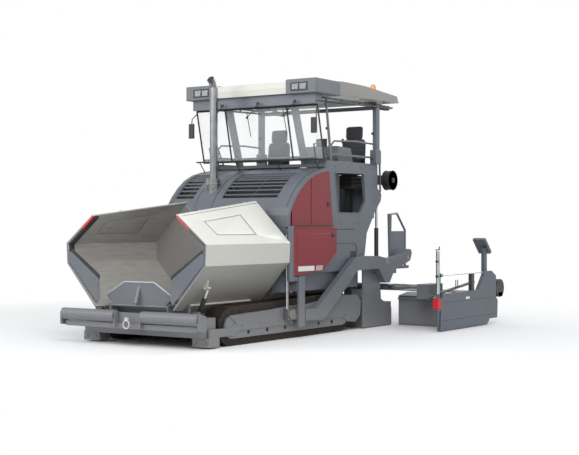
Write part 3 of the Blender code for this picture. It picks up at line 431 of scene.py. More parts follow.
def wing_paint(name, sign):
    finish = Finish(name, (0.78, 0.77, 0.70), 0.34, Coat_Weight=0.25, Coat_Roughness=0.12)
    soft_edge, near_edge = finish.rounded(0.006)
    clouds = finish.noise(1.5)
    speckle = finish.noise(30.0, 6.0)
    outer = finish.mix((clouds * 1.4 - 0.2).limited(), (0.80, 0.79, 0.72), (0.71, 0.70, 0.64))
    scuffs = finish.node("TexNoise", {}, {"Vector": finish.node("Mapping", {}, {"Vector": finish.place(), "Scale": (1.0, 0.35, 4.0)}),
                                         "Scale": 9.0, "Detail": 8.0})
    inner = finish.mix((scuffs * 1.8 - 0.4).limited(), (0.47, 0.455, 0.42), (0.33, 0.32, 0.30))
    inside = (finish.facing("X") * sign) < -0.2
    # Painted shade: outside faces standing upright get a darker cream, and faces turned down a darker grey.
    upright_shade = (finish.facing("Z") < 0.2) * (1 - inside)
    below = (finish.facing("Z") < -0.3) * (1 - inside)
    outer = finish.mix(upright_shade, outer, (0.50, 0.49, 0.45))
    outer = finish.mix(below, outer, (0.27, 0.265, 0.245))
    tone = finish.mix(inside, outer, inner)
    # Painted shade: the rear wall inside the hopper, facing forward, is darkened.
    rear_wall_shade = (finish.facing("Y") < -0.7) * (finish.place("Y") > WING_REAR - 0.1)
    tone = finish.mix(rear_wall_shade, tone, (0.30, 0.295, 0.28))
    front_edge = (finish.facing("Y") < -0.7) * (finish.place("Y") < WING_FRONT + 0.1)
    tone = finish.mix(front_edge, tone, (0.16, 0.19, 0.23))
    grime = ((1.25 - finish.place("Z")) * 1.4).limited() * (speckle * 0.5 + 0.1)
    tone = finish.mix(grime.limited(), tone, (0.33, 0.31, 0.28))
    tone = finish.mix((near_edge * (speckle - 0.2)).limited(), tone, (0.55, 0.54, 0.50))
    finish.feed(Base_Color=tone, Roughness=(inside * 0.2 + speckle * 0.12 + 0.28).limited(),
                Normal=finish.grain(scuffs, 0.06, 0.003, soft_edge))
    return finish.material


rim_paint = painted("rim_paint", (0.56, 0.56, 0.53), 0.35, dust=0.1)
for side, sign in SIDES:
    wing = f"hopper_wing_{side}"
    dress(wing_paint(f"wing_paint_{side}", sign), wing)
    tip_line = [(sign * (WING_TIP[0] + (WING_TIP_REAR[0] - WING_TIP[0]) * s), WING_FRONT + 0.004 + (WING_REAR - WING_FRONT - 0.01) * s,
                 WING_TIP[1] + (WING_TIP_REAR[1] - WING_TIP[1]) * s + 0.008) for s in (0, 0.5, 1)]
    Shape().rod(tip_line, 0.012, 10).done(f"wing_rim_{side}", wing, rim_paint, "cream", 0)
    seal = [(x + sign * 0.038, y, z - 0.022) for x, y, z in tip_line]
    Shape().rod(seal, 0.0065, 8).done(f"wing_seal_{side}", wing, black, "rubber", 0)
    trim = Shape()
    edge_lines = ((WING_HIGH, WING_TIP), (WING_LOW, WING_HIGH))
    for (x0, z0), (x1, z1) in edge_lines:
        length = math.hypot(x1 - x0, z1 - z0)
        nx, nz = (z1 - z0) / length, -(x1 - x0) / length
        band = [(x0 - nx * 0.001, z0 - nz * 0.001), (x1 - nx * 0.001, z1 - nz * 0.001),
                (x1 - nx * 0.030, z1 - nz * 0.030), (x0 - nx * 0.030, z0 - nz * 0.030)]
        trim.prism([(sign * x, z) for x, z in band], "y", WING_FRONT + 0.03, WING_FRONT + 0.11)
    trim.done(f"wing_liner_{side}", wing, black, "rubber", 0.002)
    flap = Shape()
    flap.prism([(sign * x, z) for x, z in ((0.70, 0.60), (1.20, 1.13), (1.235, 1.15), (1.243, 1.30), (1.20, 1.31), (0.66, 0.93), (0.655, 0.66))],
               "y", WING_FRONT + 0.002, WING_FRONT + 0.016)
    flap.done(f"hopper_flap_{side}", wing, machine_grey, edge=0.002)
    lip = Shape()
    lip.prism([(sign * x, z) for x, z in ((0.66, 0.915), (1.20, 1.295), (1.20, 1.36), (0.66, 0.99))], "y", WING_FRONT + 0.016, WING_FRONT + 0.030)
    lip.done(f"flap_rubber_{side}", wing, black, "rubber", 0.003)
    Shape().prism([(sign * x, z) for x, z in ((0.775, 1.822), (0.775, 1.795), (0.975, 1.630), (1.000, 1.632), (0.995, 1.645))], "y",
                  WING_FRONT - 0.006, WING_FRONT + 0.12).done(f"wing_reflector_{side}", wing, red_lens.material, "red", 0.001)
    hooks = Shape()
    for s in (0.28, 0.86):
        x, y, z = (a + (b - a) * s for a, b in zip(tip_line[0], tip_line[-1]))
        hooks.rod([(x, y - 0.03, z), (x, y - 0.03, z + 0.012), (x, y, z + 0.016), (x, y + 0.03, z + 0.012), (x, y + 0.03, z)], 0.005, 8)
    hooks.done(f"wing_hooks_{side}", wing, rim_paint, "cream", 0)

# ---- Doors and upper panels ----------------------------------------------------------------
# Pressed steel skins in deep gloss red, on full-height hinge pins, with black rubber round them.
# Each has a flush latch, and a bare name strip near its foot.
machine_red = painted("machine_red", (0.20, 0.002, 0.010), 0.38, dust=0.10, dust_top=1.2, coat=0.12, worn=(0.40, 0.03, 0.04))
label_face = painted("label_face", (0.72, 0.72, 0.70), 0.4, dust=0.1)
for side, sign in SIDES:
    dress(machine_red, f"upper_panel_{side}", f"side_door_{side}")
    door = f"side_door_{side}"
    ledge = Shape()
    ledge.prism([(sign * 1.175, 1.643), (sign * 1.266, 1.643), (sign * 1.268, 1.652), (sign * 1.175, 1.664)], "y", -1.20, -0.05)
    ledge.done(f"door_ledge_{side}", door, machine_red, "red", 0.002)
    press = Shape()
    press.prism([(-1.12, 1.12), (-0.50, 1.13), (-0.18, 1.32), (-0.18, 1.56), (-1.12, 1.56)], "x", sign * 1.262, sign * 1.2655)
    press.done(f"door_pressing_{side}", door, machine_red, "red", 0.003)
    latch = Shape()
    latch.block((min(sign * 1.262, sign * 1.272), max(sign * 1.262, sign * 1.272)), (-0.155, -0.075), (1.50, 1.56))
    latch.disc("x", (-0.115, 1.53), 0.018, sign * 1.266, sign * 1.276, 20)
    latch.done(f"door_latch_{side}", door, black, "rubber", 0.003)
    Shape().block((min(sign * 1.262, sign * 1.2645), max(sign * 1.262, sign * 1.2645)), (-1.10, -0.66), (1.00, 1.075)).done(
        f"door_label_{side}", door, label_face, "cream", 0.001)
    hashes = Shape()
    for k in range(6):
        y = -0.62 + 0.032 * k
        hashes.prism([(y, 1.00), (y + 0.014, 1.00), (y + 0.044, 1.075), (y + 0.030, 1.075)], "x", sign * 1.262, sign * 1.2645)
    hashes.done(f"door_hashes_{side}", door, label_face, "cream", 0)
    gasket = Shape()
    gasket.block((min(sign * 1.12, sign * 1.176), max(sign * 1.12, sign * 1.176)), (-1.19, 0.0), (1.640, 1.650))
    gasket.rod([(sign * 1.184, -1.14, 1.69), (sign * 1.184, -0.03, 1.69)], 0.005, 8)
    gasket.rod([(sign * 1.184, -0.62, 1.69), (sign * 1.184, -0.62, 2.40)], 0.003, 8)
    gasket.done(f"panel_gasket_{side}", "tractor", black, "rubber", 0)
    catch = Shape()
    catch.block((min(sign * 1.182, sign * 1.192), max(sign * 1.182, sign * 1.192)), (-0.16, -0.10), (1.98, 2.05))
    catch.disc("x", (-0.13, 2.015), 0.014, sign * 1.188, sign * 1.196, 20)
    catch.done(f"panel_catch_{side}", "tractor", black, "rubber", 0.003)

# ---- Chrome, rods and cylinders ------------------------------------------------------------
# Hard-chromed rods in black enamelled barrels, with swivel eyes pressed on their ends.
bright = Finish("hard_chrome", (0.58, 0.60, 0.62), 0.2, 1.0)
bright_edge, bright_near = bright.rounded(0.004)
smears = bright.noise(11.0, 6.0)
bright.feed(Roughness=smears * 0.22 + 0.07, Normal=bright.grain(smears, 0.03, 0.001, bright_edge))
dull_steel = Finish("dull_steel", (0.26, 0.25, 0.245), 0.45, 0.85)
dull_edge, dull_near = dull_steel.rounded(0.005)
scratch = dull_steel.noise(24.0, 8.0)
dull_steel.feed(Base_Color=dull_steel.mix((scratch * 1.5 - 0.2).limited(), (0.16, 0.155, 0.15), (0.33, 0.32, 0.31)),
                Roughness=scratch * 0.4 + 0.28, Normal=dull_steel.grain(scratch, 0.2, 0.002, dull_edge))
dress(dull_steel.material, "hopper_floor", "engine_block")
pipe_chrome = Finish("pipe_chrome", (0.30, 0.31, 0.33), 0.2, 1.0)
heat = pipe_chrome.noise(5.0, 4.0)
pipe_chrome.feed(Base_Color=pipe_chrome.mix((heat * 1.6 - 0.3).limited(), (0.36, 0.37, 0.39), (0.17, 0.165, 0.165)),
                 Roughness=heat * 0.3 + 0.08)
dress(pipe_chrome.material, "exhaust_stack")
dress(black, "hose_reel")
for side, sign in SIDES:
    dress(black, f"wing_barrel_{side}", f"lift_barrel_{side}")
    dress(bright.material, f"wing_rod_{side}", f"lift_rod_{side}")
    dress(dull_steel.material, f"auger_{side}", f"tow_point_{side}")
cream_paint = painted("roof_cream", (0.74, 0.73, 0.67), 0.36, dust=0.0)
dark_trim = painted("dark_trim", (0.022, 0.023, 0.025), 0.4, dust=0.1, dust_top=4.0)
dress(machine_grey, "front_posts", "rear_posts", "side_screen_left", "side_screen_right")
console_grey = painted("console_grey", (0.17, 0.18, 0.19), 0.5, dust=0.05)
dress(console_grey, "control_console")
glass = Finish("screen_glass", (0.80, 0.84, 0.85), 0.03, Alpha=0.14)
glass_dust = glass.noise(3.0, 4.0)
glass.feed(Roughness=glass_dust * 0.06 + 0.01)
dress(glass.material, "windscreen")
seat_cloth = Finish("seat_cloth", (0.035, 0.036, 0.040), 0.9, Sheen_Weight=0.3)
weave = seat_cloth.node("TexWave", {"wave_type": "BANDS", "bands_direction": "Z"}, {"Vector": seat_cloth.place(), "Scale": 90.0, "Distortion": 2.0})
seat_cloth.feed(Base_Color=seat_cloth.mix(weave, (0.030, 0.031, 0.034), (0.055, 0.056, 0.060)),
                Normal=seat_cloth.node("Bump", {}, {"Strength": 0.5, "Distance": 0.002, "Height": weave}))


# ---- Engine hood grilles, seams and exhaust ------------------------------------------------
# Pressed blades lie across two openings cut in the curved hood, over black mesh.
# The chromed pipe stands in a bolted clamp; its bent mouth is closed by a black disc, which is
# soot and painted shade for the dark inside of the pipe.
HOOD_FRONT = -1.20
HOOD_BACK = 0.05
HOOD_SHOULDER = 1.96
HOOD_CROWN = 2.60
hood_profile = [(HOOD_FRONT, HOOD_SHOULDER)]
for share, lift in ((0.10, 0.27), (0.22, 0.50), (0.36, 0.70), (0.52, 0.84), (0.70, 0.925), (0.86, 0.97), (1.0, 1.0)):
    hood_profile.append((HOOD_FRONT + (HOOD_BACK - HOOD_FRONT) * share, HOOD_SHOULDER + (HOOD_CROWN - HOOD_SHOULDER) * lift))


def hood_height(y):
    for (y0, z0), (y1, z1) in zip(hood_profile, hood_profile[1:]):
        if y <= y1:
            return z0 + (z1 - z0) * (y - y0) / (y1 - y0)
    return HOOD_CROWN


for name, x0, x1 in (("near", -0.165, 0.875), ("far", -1.085, -0.735)):
    backing = Shape()
    backing.prism([(-1.055, 2.075), (-0.53, 2.455), (-0.535, 2.465), (-1.06, 2.085)], "x", x0, x1)
    backing.done(f"grille_mesh_{name}", "tractor", black, "rubber", 0)
    blades = Shape()
    for k in range(7):
        y = -1.035 + 0.073 * k
        z = hood_height(y)
        blades.prism([(y - 0.014, z - 0.018), (y + 0.016, z - 0.002), (y + 0.020, z - 0.010), (y - 0.008, z - 0.030)], "x", x0, x1)
    for x in (x0 + (x1 - x0) * 0.5, x0 + 0.01, x1 - 0.01):
        blades.prism([(-1.05, 2.095), (-0.54, 2.47), (-0.54, 2.45), (-1.05, 2.075)], "x", x - 0.008, x + 0.008)
    blades.done(f"grille_blades_{name}", "tractor", machine_grey, edge=0.002)
seams = Shape()
for x in (-1.12, -0.635, -0.30, 1.12):
    seams.rod([(x, y, z + 0.001) for y, z in hood_profile], 0.0035, 8)
seams.rod([(-1.18, -0.44, 2.715), (1.17, -0.44, 2.715)], 0.012, 10)
for x in (-1.12, -0.4, 0.4, 1.12):
    seams.rod([(x, -0.44, 2.715), (x, -0.30, 2.56)], 0.008, 8)
seams.done("hood_seams", "tractor", black, "rubber", 0)
PIPE = (-0.45, -0.93)
clamp = Shape()
for z in (2.33, 2.40):
    clamp.disc("z", PIPE, 0.102, z, z + 0.018, 32)
clamp.block((PIPE[0] - 0.13, PIPE[0] - 0.085), (PIPE[1] - 0.03, PIPE[1] + 0.03), (2.32, 2.43))
bolts(clamp, [(PIPE[0] + 0.13 * math.cos(a), PIPE[1] + 0.13 * math.sin(a)) for a in (0.4, 2.2, 3.9, 5.4)], "z", 2.26, 2.31, 0.012)
clamp.done("exhaust_clamp", "tractor", dull_steel.material, "steel", 0.003)
# Painted shade and soot: a black disc over the mouth stands for the pipe's dark inside.
Shape().rod([(PIPE[0], PIPE[1] - 0.0835, 3.981), (PIPE[0], PIPE[1] - 0.088, 3.9845)], 0.055, 24).done(
    "exhaust_mouth", "tractor", black, "rubber", 0)

# ---- Canopy --------------------------------------------------------------------------------
# Moulded roof: off-white above, grey beneath, with grey moulded caps bolted over the front corners.
# The off-white faces turned left and right are darkened with painted shade.
# The caps hold square work lamps in recesses, drawn as black blocks of painted shade; smaller lamps
# and an amber beacon stand at the rear.
canopy = Finish("canopy_skin", (0.74, 0.73, 0.67), 0.38)
canopy_edge, canopy_near = canopy.rounded(0.012)
canopy_clouds = canopy.noise(2.2)
canopy_top = canopy.mix((canopy_clouds * 1.4 - 0.2).limited(), (0.70, 0.69, 0.63), (0.60, 0.59, 0.54))
canopy_low = canopy.place("Z") < 3.725
# Painted shade: off-white faces turned left or right get a shaded, darker tone.
canopy_side_shade = canopy.facing("X")
canopy_side_shade = (canopy_side_shade > 0.7) + (canopy_side_shade < -0.7)
canopy_top = canopy.mix(canopy_side_shade.limited(), canopy_top, (0.215, 0.205, 0.19))
canopy.feed(Base_Color=canopy.mix(canopy_low, canopy_top, (0.115, 0.128, 0.150)), Normal=canopy_edge,
            Roughness=canopy_clouds * 0.15 + 0.3)
dress(canopy.material, "canopy_roof")
lamp_glass = Finish("lamp_glass", (0.20, 0.21, 0.22), 0.15, 0.7, Coat_Weight=0.5)
lamp_ribs = lamp_glass.node("TexWave", {"wave_type": "BANDS", "bands_direction": "X"}, {"Vector": lamp_glass.place(), "Scale": 40.0})
lamp_glass.feed(Normal=lamp_glass.node("Bump", {}, {"Strength": 0.4, "Distance": 0.003, "Height": lamp_ribs}))
for side, sign in SIDES:
    cap = Shape()
    cap.loops([[(sign * x, y, z) for x, y in ((0.70, -0.612), (1.264, -0.612), (1.264, 0.10), (0.74, 0.10))]
               for z in (3.712, 3.94)])
    cap.done(f"roof_cap_{side}", "tractor", machine_grey, edge=0.012)
    # Painted shade: a thin black block stands for the shaded recess around the lamp lenses.
    recess = Shape()
    recess.block((sign * 0.95 - 0.16, sign * 0.95 + 0.16), (-0.6145, -0.600), (3.752, 3.888))
    recess.done(f"lamp_recess_{side}", "tractor", black, "rubber", 0.002)
    lenses = Shape()
    for x in (0.875, 1.02):
        lenses.block((sign * x - 0.058, sign * x + 0.058), (-0.619, -0.612), (3.775, 3.868))
    lenses.done(f"work_lamps_{side}", "tractor", lamp_glass.material, "glass", 0.006)
    rear_lamps = Shape()
    for k in range(3):
        y = 1.62 + 0.12 * k
        rear_lamps.block((sign * 1.06 - 0.05, sign * 1.06 + 0.05), (y, y + 0.07), (3.63, 3.705))
    rear_lamps.done(f"rear_lamps_{side}", "tractor", dark_trim, "paint", 0.008)
    under = Shape()
    under.rod([(sign * 1.18, -0.50, 3.60), (sign * 1.20, 1.85, 3.66)], 0.016, 10)
    bolts(under, [(y, 3.66) for y in (-0.3, 0.25, 0.8, 1.2)], "x", sign * 1.19, sign * 1.215, 0.012)
    under.done(f"roof_rail_{side}", "tractor", dark_trim, "paint", 0)
amber = Finish("amber_lens", (0.85, 0.30, 0.01), 0.15, Coat_Weight=1.0)
amber_ribs = amber.node("TexWave", {"wave_type": "BANDS", "bands_direction": "Z"}, {"Vector": amber.place(), "Scale": 45.0})
amber.feed(Normal=amber.node("Bump", {}, {"Strength": 0.5, "Distance": 0.003, "Height": amber_ribs}))
BEACON = (1.17, 1.27)
dome = Shape()
dome.loops([[(BEACON[0] + r * math.cos(t * math.pi / 12), BEACON[1] + r * math.sin(t * math.pi / 12), z) for t in range(24)]
            for r, z in ((0.052, 3.90), (0.052, 3.955), (0.047, 3.985), (0.034, 4.003), (0.012, 4.010))])
dome.done("beacon_dome", "tractor", amber.material, "red", 0)
Shape().disc("z", BEACON, 0.060, 3.84, 3.902, 28).done("beacon_foot", "tractor", black, "rubber", 0.004)

# ---- Windscreen and side screens -----------------------------------------------------------
# Laminated panes clamped in black rubber; wiper arms hang from the band under the roof.
# Screens fold on thin tubes with black clamp knobs.
frame_rubber = Shape()
for x in (-1.175, -0.60, 0.60, 1.175):
    frame_rubber.rod([(x, -0.244, 2.705), (x, -0.438, 3.548)], 0.013, 10)
frame_rubber.rod([(-1.175, -0.246, 2.712), (1.175, -0.246, 2.712)], 0.013, 10)
frame_rubber.rod([(-1.175, -0.436, 3.542), (1.175, -0.436, 3.542)], 0.013, 10)
frame_rubber.done("windscreen_rubber", "tractor", black, "rubber", 0)
wipers = Shape()
for x in (-0.85, -0.15, 0.55):
    wipers.rod([(x, -0.455, 3.40), (x + 0.14, -0.49, 3.50), (x + 0.30, -0.575, 3.60)], 0.007, 8)
    wipers.rod([(x - 0.02, -0.435, 3.50), (x + 0.02, -0.375, 3.10)], 0.006, 8)
    wipers.disc("y", (x + 0.30, 3.60), 0.022, -0.60, -0.565, 16)
    wipers.disc("y", (x, 3.40), 0.016, -0.47, -0.44, 16)
wipers.done("wiper_arms", "tractor", black, "rubber", 0)
for side, sign in SIDES:
    knobs = Shape()
    for y, z in ((-0.10, 2.78), (-0.11, 3.20), (-0.12, 3.62), (1.30, 2.78), (1.30, 3.20), (1.30, 3.64)):
        knobs.disc("x", (y, z), 0.021, sign * 1.125, sign * 1.150, 16)
    knobs.done(f"screen_knobs_{side}", "tractor", black, "rubber", 0.003)
    rails = Shape()
    rails.rod([(sign * 1.115, 0.06, 2.66), (sign * 1.115, 0.05, 2.94), (sign * 1.115, 0.14, 3.015), (sign * 1.115, 0.8, 3.045),
               (sign * 1.115, 1.38, 3.03)], 0.015, 12)
    rails.rod([(sign * 1.115, 1.48, 2.74), (sign * 1.125, 1.56, 2.70), (sign * 1.13, 1.57, 2.25), (sign * 1.12, 1.50, 2.16)], 0.017, 12)
    rails.rod([(sign * 1.02, -0.22, 2.66), (sign * 1.02, -0.30, 2.95), (sign * 1.02, -0.10, 3.0), (sign * 1.02, 0.09, 2.66)], 0.014, 12)
    rails.done(f"hand_rails_{side}", "tractor", machine_grey, edge=0)
    mirror = Shape()
    mirror.rod([(sign * 1.17, -0.45, 3.50), (sign * 1.21, -0.52, 3.42), (sign * 1.21, -0.54, 3.22)], 0.009, 8)
    mirror.block((sign * 1.19 - 0.05, sign * 1.19 + 0.05), (-0.575, -0.545), (3.10, 3.34))
    mirror.done(f"side_mirror_{side}", "tractor", black, "rubber", 0.008)

# ---- Seats ---------------------------------------------------------------------------------
# Sprung seats on pedestals: foam cushions in dark woven cloth with piped seams, over a black
# rubber bellows. Armrests hinge on the back frame.
def pillow(name, centre, size, tilt, channels):
    """A crowned cushion: full in the middle, with sides pulled in between its corners."""
    steps = 28
    top = []
    bottom = []
    shape = Shape()
    for row in range(steps + 1):
        v = -1 + 2 * row / steps
        for column in range(steps + 1):
            u = -1 + 2 * column / steps
            swell = max(0.0, (1 - u ** 4) * (1 - v ** 4)) ** 0.5
            corner = 1 - 0.14 * (u * v) ** 4
            pulled_u = u * (1 - 0.035 * (1 - v * v)) * corner
            pulled_v = v * (1 - 0.035 * (1 - u * u)) * corner
            crease = 1 - 0.12 * sum(math.exp(-((v - c) / 0.035) ** 2) for c in channels) * (abs(u) < 0.97)
            for half, store in ((1, top), (-1, bottom)):
                height = half * size[2] / 2 * swell * (crease if half > 0 else 0.8)
                y = pulled_v * size[1] / 2
                place = (centre[0] + pulled_u * size[0] / 2, centre[1] + y * math.cos(tilt) - height * math.sin(tilt),
                         centre[2] + y * math.sin(tilt) + height * math.cos(tilt))
                store.append(shape.mesh.verts.new(place))
    side_count = steps + 1
    for store, flip in ((top, False), (bottom, True)):
        for row in range(steps):
            for column in range(steps):
                a = row * side_count + column
                ring = [store[a], store[a + 1], store[a + side_count + 1], store[a + side_count]]
                shape.mesh.faces.new(ring[::-1] if flip else ring)
    made = shape.done(name, "tractor", seat_cloth.material, "seat", 0)
    return made


for side, sign in SIDES:
    x = sign * 0.76
    squab = pillow(f"seat_cushion_{side}", (x, 1.105, 2.585), (0.50, 0.54, 0.17), -0.06, (-0.45, 0.0, 0.45))
    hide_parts(f"seat_{side}")
    pillow(f"seat_back_{side}", (x, 1.335, 2.875), (0.46, 0.52, 0.15), math.radians(86), (-0.5, -0.1, 0.3))
    pillow(f"seat_headrest_{side}", (x, 1.355, 3.225), (0.33, 0.23, 0.11), math.radians(86), ())
    for arm in (-1, 1):
        pillow(f"seat_arm_{side}_{'outer' if arm > 0 else 'inner'}", (x + arm * 0.235, 1.12, 2.80), (0.065, 0.32, 0.06), 0.05, ())
    bellows = Shape()
    for k in range(6):
        spread = 0.0 if k % 2 else 0.022
        bellows.block((x - 0.19 - spread, x + 0.19 + spread), (0.96 - spread, 1.34 + spread), (2.32 + 0.031 * k, 2.352 + 0.031 * k))
    bellows.done(f"seat_bellows_{side}", "tractor", black, "rubber", 0.006)
    stand = Shape()
    stand.block((x - 0.045, x + 0.045), (1.10, 1.22), (1.862, 2.30))
    stand.block((x - 0.16, x + 0.16), (0.98, 1.32), (1.862, 1.885))
    stand.block((x - 0.21, x + 0.21), (0.93, 1.36), (2.29, 2.325))
    for arm in (-1, 1):
        stand.rod([(x + arm * 0.235, 1.30, 2.66), (x + arm * 0.235, 1.27, 2.79), (x + arm * 0.235, 1.0, 2.775)], 0.012, 8)
        stand.rod([(x + arm * 0.07, 1.345, 3.09), (x + arm * 0.07, 1.35, 3.16)], 0.007, 8)
    stand.done(f"seat_stand_{side}", "tractor", dark_trim, "paint", 0.006)

# ---- Control console -----------------------------------------------------------------------
# A swivelling desk in grey moulded plastic, with a black key panel, two levers and a display.
desk = Shape()
desk.prism([(0.40, 2.951), (0.72, 2.936), (0.72, 2.942), (0.40, 2.957)], "x", 0.42, 1.00)
for k in range(5):
    desk.disc("z", (0.52 + 0.09 * k, 0.50), 0.014, 2.945, 2.962, 16)
    desk.block((0.50 + 0.09 * k, 0.54 + 0.09 * k), (0.60, 0.625), (2.94, 2.953))
for x in (0.47, 0.95):
    desk.rod([(x, 0.68, 2.93), (x, 0.67, 3.02)], 0.009, 10)
    desk.loops([[(x + r * math.cos(t * math.pi / 8), 0.67 + r * math.sin(t * math.pi / 8), z) for t in range(16)]
                for r, z in ((0.012, 3.01), (0.024, 3.03), (0.026, 3.055), (0.018, 3.08), (0.006, 3.088))])
desk.block((0.62, 0.82), (0.385, 0.405), (2.95, 3.08))
desk.done("console_keys", "tractor", black, "rubber", 0.003)

# ---- Hose reel -----------------------------------------------------------------------------
# A sprung drum for the cleaning hose, wound in black rubber between two thin flanges.
reel = Shape()
REEL = (1.79, 2.44)
for k in range(5):
    x = 1.140 + 0.022 * k
    reel.disc("x", REEL, 0.150, x - 0.009, x + 0.009, 36)
for x in (1.122, 1.247):
    reel.disc("x", REEL, 0.168, x - 0.003, x + 0.003, 36)
reel.disc("x", REEL, 0.045, 1.10, 1.262, 24)
reel.rod([(1.19, 1.93, 2.40), (1.19, 1.985, 2.375)], 0.012, 10)
reel.done("hose_coils", "tractor", black, "rubber", 0.003)

# ---- Side frames and tow rails -------------------------------------------------------------
# Flame-cut plate with a hatch, its seam, a service recess drawn as a black block of painted
# shade, and bolted brackets.
for side, sign in SIDES:
    lines = Shape()
    x = sign * 1.139
    lines.rod([(x, 0.02, 1.40), (x, 0.20, 1.40), (x, 0.62, 1.40), (x, 0.74, 1.39), (x, 0.79, 1.33), (x, 0.79, 1.25)], 0.0045, 8)
    lines.rod([(x, 0.06, 1.625), (x, 0.74, 1.625)], 0.006, 8)
    # Painted shade: a thin black block stands for the shade inside the service recess.
    lines.block((min(x, sign * 1.142), max(x, sign * 1.142)), (0.60, 0.78), (1.16, 1.27))
    lines.rod([(x, -0.105, 2.50), (x, 0.015, 1.68)], 0.004, 8)
    lines.done(f"hatch_lines_{side}", "tractor", black, "rubber", 0)
    rim = Shape()
    window = [(0.23, 1.88), (0.91, 1.88), (1.08, 2.08), (1.02, 2.53), (0.13, 2.52)]
    loop = window + window[:2]
    rim.rod([(sign * 1.138, y, z) for y, z in loop], 0.009, 8)
    bolts(rim, [(0.16, 2.62), (0.55, 2.62), (0.94, 2.62), (1.32, 2.62), (1.30, 2.35), (1.36, 2.10), (0.86, 1.72), (0.30, 1.72)],
          "x", sign * 1.138, sign * 1.149, 0.010)
    rim.done(f"window_rim_{side}", "tractor", machine_grey, edge=0)
    level_rod = Shape()
    level_rod.rod([(sign * 1.205, -1.325, 0.45), (sign * 1.205, -1.325, 1.55)], 0.011, 12)
    level_rod.done(f"level_rod_{side}", "tractor", bright.material, "chrome", 0)
    rail = Shape()
    bolts(rail, [(y, z) for z in (0.25, 0.70, 1.20, 1.60) for y in (-1.28,)], "x", sign * 1.252, sign * 1.266, 0.011)
    rail.done(f"rail_bolts_{side}", "tractor", dull_steel.material, "steel", 0)
    arm_parts = Shape()
    for y, z, radius in ((1.58, 1.08, 0.050), (-1.01, 0.35, 0.055), (2.30, 1.12, 0.045)):
        arm_parts.disc("x", (y, z), radius, sign * 1.255, sign * 1.2685, 28)
        arm_parts.disc("x", (y, z), radius * 0.45, sign * 1.262, sign * 1.2698, 6)
    arm_parts.done(f"arm_pins_{side}", "screed", dull_steel.material, "steel", 0.002)

# ---- Push rollers, beam and apron ----------------------------------------------------------
# Turned steel drums run on fixed axles; a forged towing eye hangs at the middle.
for side, sign in SIDES:
    caps = Shape()
    for x in (0.249, 1.241):
        caps.disc("x", (-3.435, 0.42), 0.080, sign * (x - 0.0025), sign * (x + 0.0025), 36)
    caps.done(f"roller_caps_{side}", f"push_roller_{side}", dull_steel.material, "steel", 0.002)
    feet = Shape()
    bolts(feet, [(sign * x, 0.085) for x in (0.92, 1.09)], "y", -3.12, -3.136, 0.016)
    bolts(feet, [(sign * x, 0.36) for x in (0.40, 0.70, 1.0)], "y", -3.13, -3.143, 0.014)
    feet.done(f"cross_bolts_{side}", "tractor", dull_steel.material, "steel", 0)
ring = Shape()
ring.rod([(0.055 * math.cos(t * math.pi / 16), -3.506, 0.315 + 0.055 * math.sin(t * math.pi / 16)) for t in range(33)], 0.010, 10)
ring.block((-0.03, 0.03), (-3.51, -3.48), (0.375, 0.41))
ring.done("towing_eye", "push_beam", rim_paint, "cream", 0)
apron_trim = Shape()
apron_trim.rod([(-0.60, -3.23, 0.705), (-0.27, -3.23, 0.892), (0.27, -3.23, 0.892), (0.60, -3.23, 0.705)], 0.010, 10)
apron_trim.done("apron_edge", "front_apron", rim_paint, "paint", 0)

# ---- Conveyor ------------------------------------------------------------------------------
# Two strands of flat bars drag the mix through the tunnel; chains run under each end.
bars = Shape()
for k in range(13):
    y = -3.02 + 0.142 * k
    for x0, x1 in ((0.03, 0.50), (-0.50, -0.03)):
        bars.block((x0, x1), (y, y + 0.028), (0.535, 0.556))
for x in (0.06, 0.47, -0.06, -0.47):
    for k in range(24):
        y = -3.04 + 0.073 * k
        bars.block((x - 0.012, x + 0.012), (y, y + 0.055), (0.533, 0.549))
bars.done("conveyor_bars", "tractor", dull_steel.material, "steel", 0.003)

# ---- Screed extensions and end gates -------------------------------------------------------
# Extensions slide on hard-chromed guide tubes. Each end gate hangs on a screw jack with red
# stop blocks, and carries a remote panel, a depth rod and a cable drum.
gate = Finish("gate_paint", (0.098, 0.118, 0.142), 0.42)
gate_edge, gate_near = gate.rounded(0.006)
gate_cloud = gate.noise(1.7)
gate_speck = gate.noise(38.0, 6.0)
gate_tone = gate.mix((gate_cloud * 1.6 - 0.3).limited(), (0.098, 0.118, 0.142), (0.078, 0.094, 0.114))
gate_tone = gate.mix((gate_near * gate_speck * 1.4).limited(), gate_tone, (0.24, 0.26, 0.29))
across = gate.place("Y")
up = gate.place("Z")
red_zone = (across > 0.995) * (across < 1.135) * (up > 0.352) * (up < 0.535)
drum_zone = (across > 3.22) * (up > 0.442)
plate_zone = (across > 2.0) * (across < 2.14) * (up > 0.475) * (up < 0.515)
skid_line = (up > 0.168) * (up < 0.176) * (across > 1.12)
top_line = (up > 0.452) * (up < 0.459) * (across > 1.15)
gate_tone = gate.mix(red_zone, gate_tone, (0.50, 0.012, 0.02))
gate_tone = gate.mix(drum_zone, gate_tone, (0.013, 0.013, 0.014))
gate_tone = gate.mix(plate_zone, gate_tone, (0.78, 0.78, 0.76))
gate_tone = gate.mix((skid_line + top_line).limited(), gate_tone, (0.015, 0.016, 0.018))
gate.feed(Base_Color=gate_tone, Roughness=gate_speck * 0.15 + 0.34, Normal=gate.grain(gate_speck, 0.05, 0.002, gate_edge))
green = painted("knob_green", (0.02, 0.30, 0.09), 0.35, dust=0.1)
GUIDE_Y = {"left": 1.76, "right": 1.62}
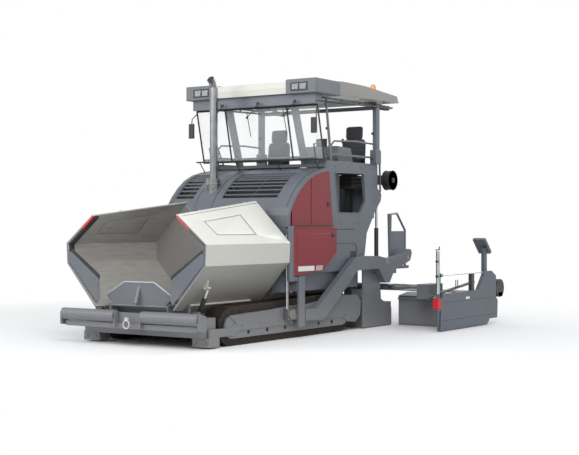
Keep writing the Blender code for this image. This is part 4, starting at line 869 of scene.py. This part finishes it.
for side, sign in SIDES:
    extension = f"screed_extension_{side}"
    dress(gate.material, f"end_gate_{side}")
    tubes = Shape()
    tubes.rod([(sign * 1.20, GUIDE_Y[side], 0.65), (sign * 1.83, GUIDE_Y[side], 0.65)], 0.0565, 24)
    tubes.rod([(sign * 2.05, 1.70, 0.52), (sign * 2.43, 1.70, 0.52)], 0.031, 16)
    tubes.done(f"guide_tubes_{side}", extension, bright.material, "chrome", 0)
    jack = Shape()
    jack.disc("z", (sign * 2.47, 1.06), 0.0295, 0.60, 1.282, 24)
    jack.rod([(sign * 2.46, 1.15, 0.89), (sign * 2.46, 2.74, 0.89)], 0.010, 12)
    jack.done(f"gate_jack_{side}", extension, bright.material, "chrome", 0.002)
    crank = Shape()
    crank.disc("z", (sign * 2.465, 1.06), 0.034, 1.10, 1.13, 20)
    crank.disc("z", (sign * 2.465, 1.06), 0.034, 0.86, 0.90, 20)
    crank.rod([(sign * 2.465, 1.00, 1.30), (sign * 2.465, 1.12, 1.30), (sign * 2.465, 1.12, 1.35)], 0.010, 10)
    crank.block((sign * 2.44 - 0.03, sign * 2.44 + 0.03), (1.115, 1.16), (0.60, 0.93))
    crank.rod([(sign * 2.42, 1.15, 0.60), (sign * 2.42, 2.46, 0.74)], 0.022, 12)
    crank.block((sign * 2.43 - 0.03, sign * 2.43 + 0.03), (2.30, 2.40), (0.60, 0.88))
    for y in (1.75, 1.82):
        crank.rod([(sign * 2.44, y, 0.66), (sign * 2.44, y, 0.80)], 0.008, 8)
    crank.done(f"gate_crank_{side}", extension, dark_trim, "paint", 0.002)
    handle = Shape()
    handle.disc("y", (sign * 2.46, 0.89), 0.028, 1.165, 1.215, 20)
    handle.block((sign * 2.455 - 0.035, sign * 2.455 + 0.035), (3.28, 3.47), (0.455, 0.53))
    handle.done(f"gate_knob_{side}", extension, green, "paint", 0.004)
    screen = Shape()
    screen.prism([(2.738, 1.440), (2.938, 1.238), (2.934, 1.232), (2.733, 1.435)], "x", sign * 2.30, sign * 2.48)
    screen.done(f"panel_face_{side}", extension, black, "rubber", 0.002)
    tread = Shape()
    tread.block((min(sign * 1.30, sign * 2.42), max(sign * 1.30, sign * 2.42)), (2.30, 2.74), (0.555, 0.575))
    for k in range(9):
        x = sign * (1.36 + 0.125 * k)
        tread.block((x - 0.04, x + 0.04), (2.34, 2.70), (0.573, 0.581))
    tread.done(f"walkway_{side}", extension, dull_steel.material, "steel", 0.002)
    mould = Shape()
    mould.block((min(sign * 1.28, sign * 2.43), max(sign * 1.28, sign * 2.43)), (1.935, 1.949), (0.03, 0.44))
    mould.block((min(sign * 1.28, sign * 2.43), max(sign * 1.28, sign * 2.43)), (1.90, 1.95), (0.44, 0.47))
    mould.done(f"mould_board_{side}", extension, machine_grey, edge=0.003)
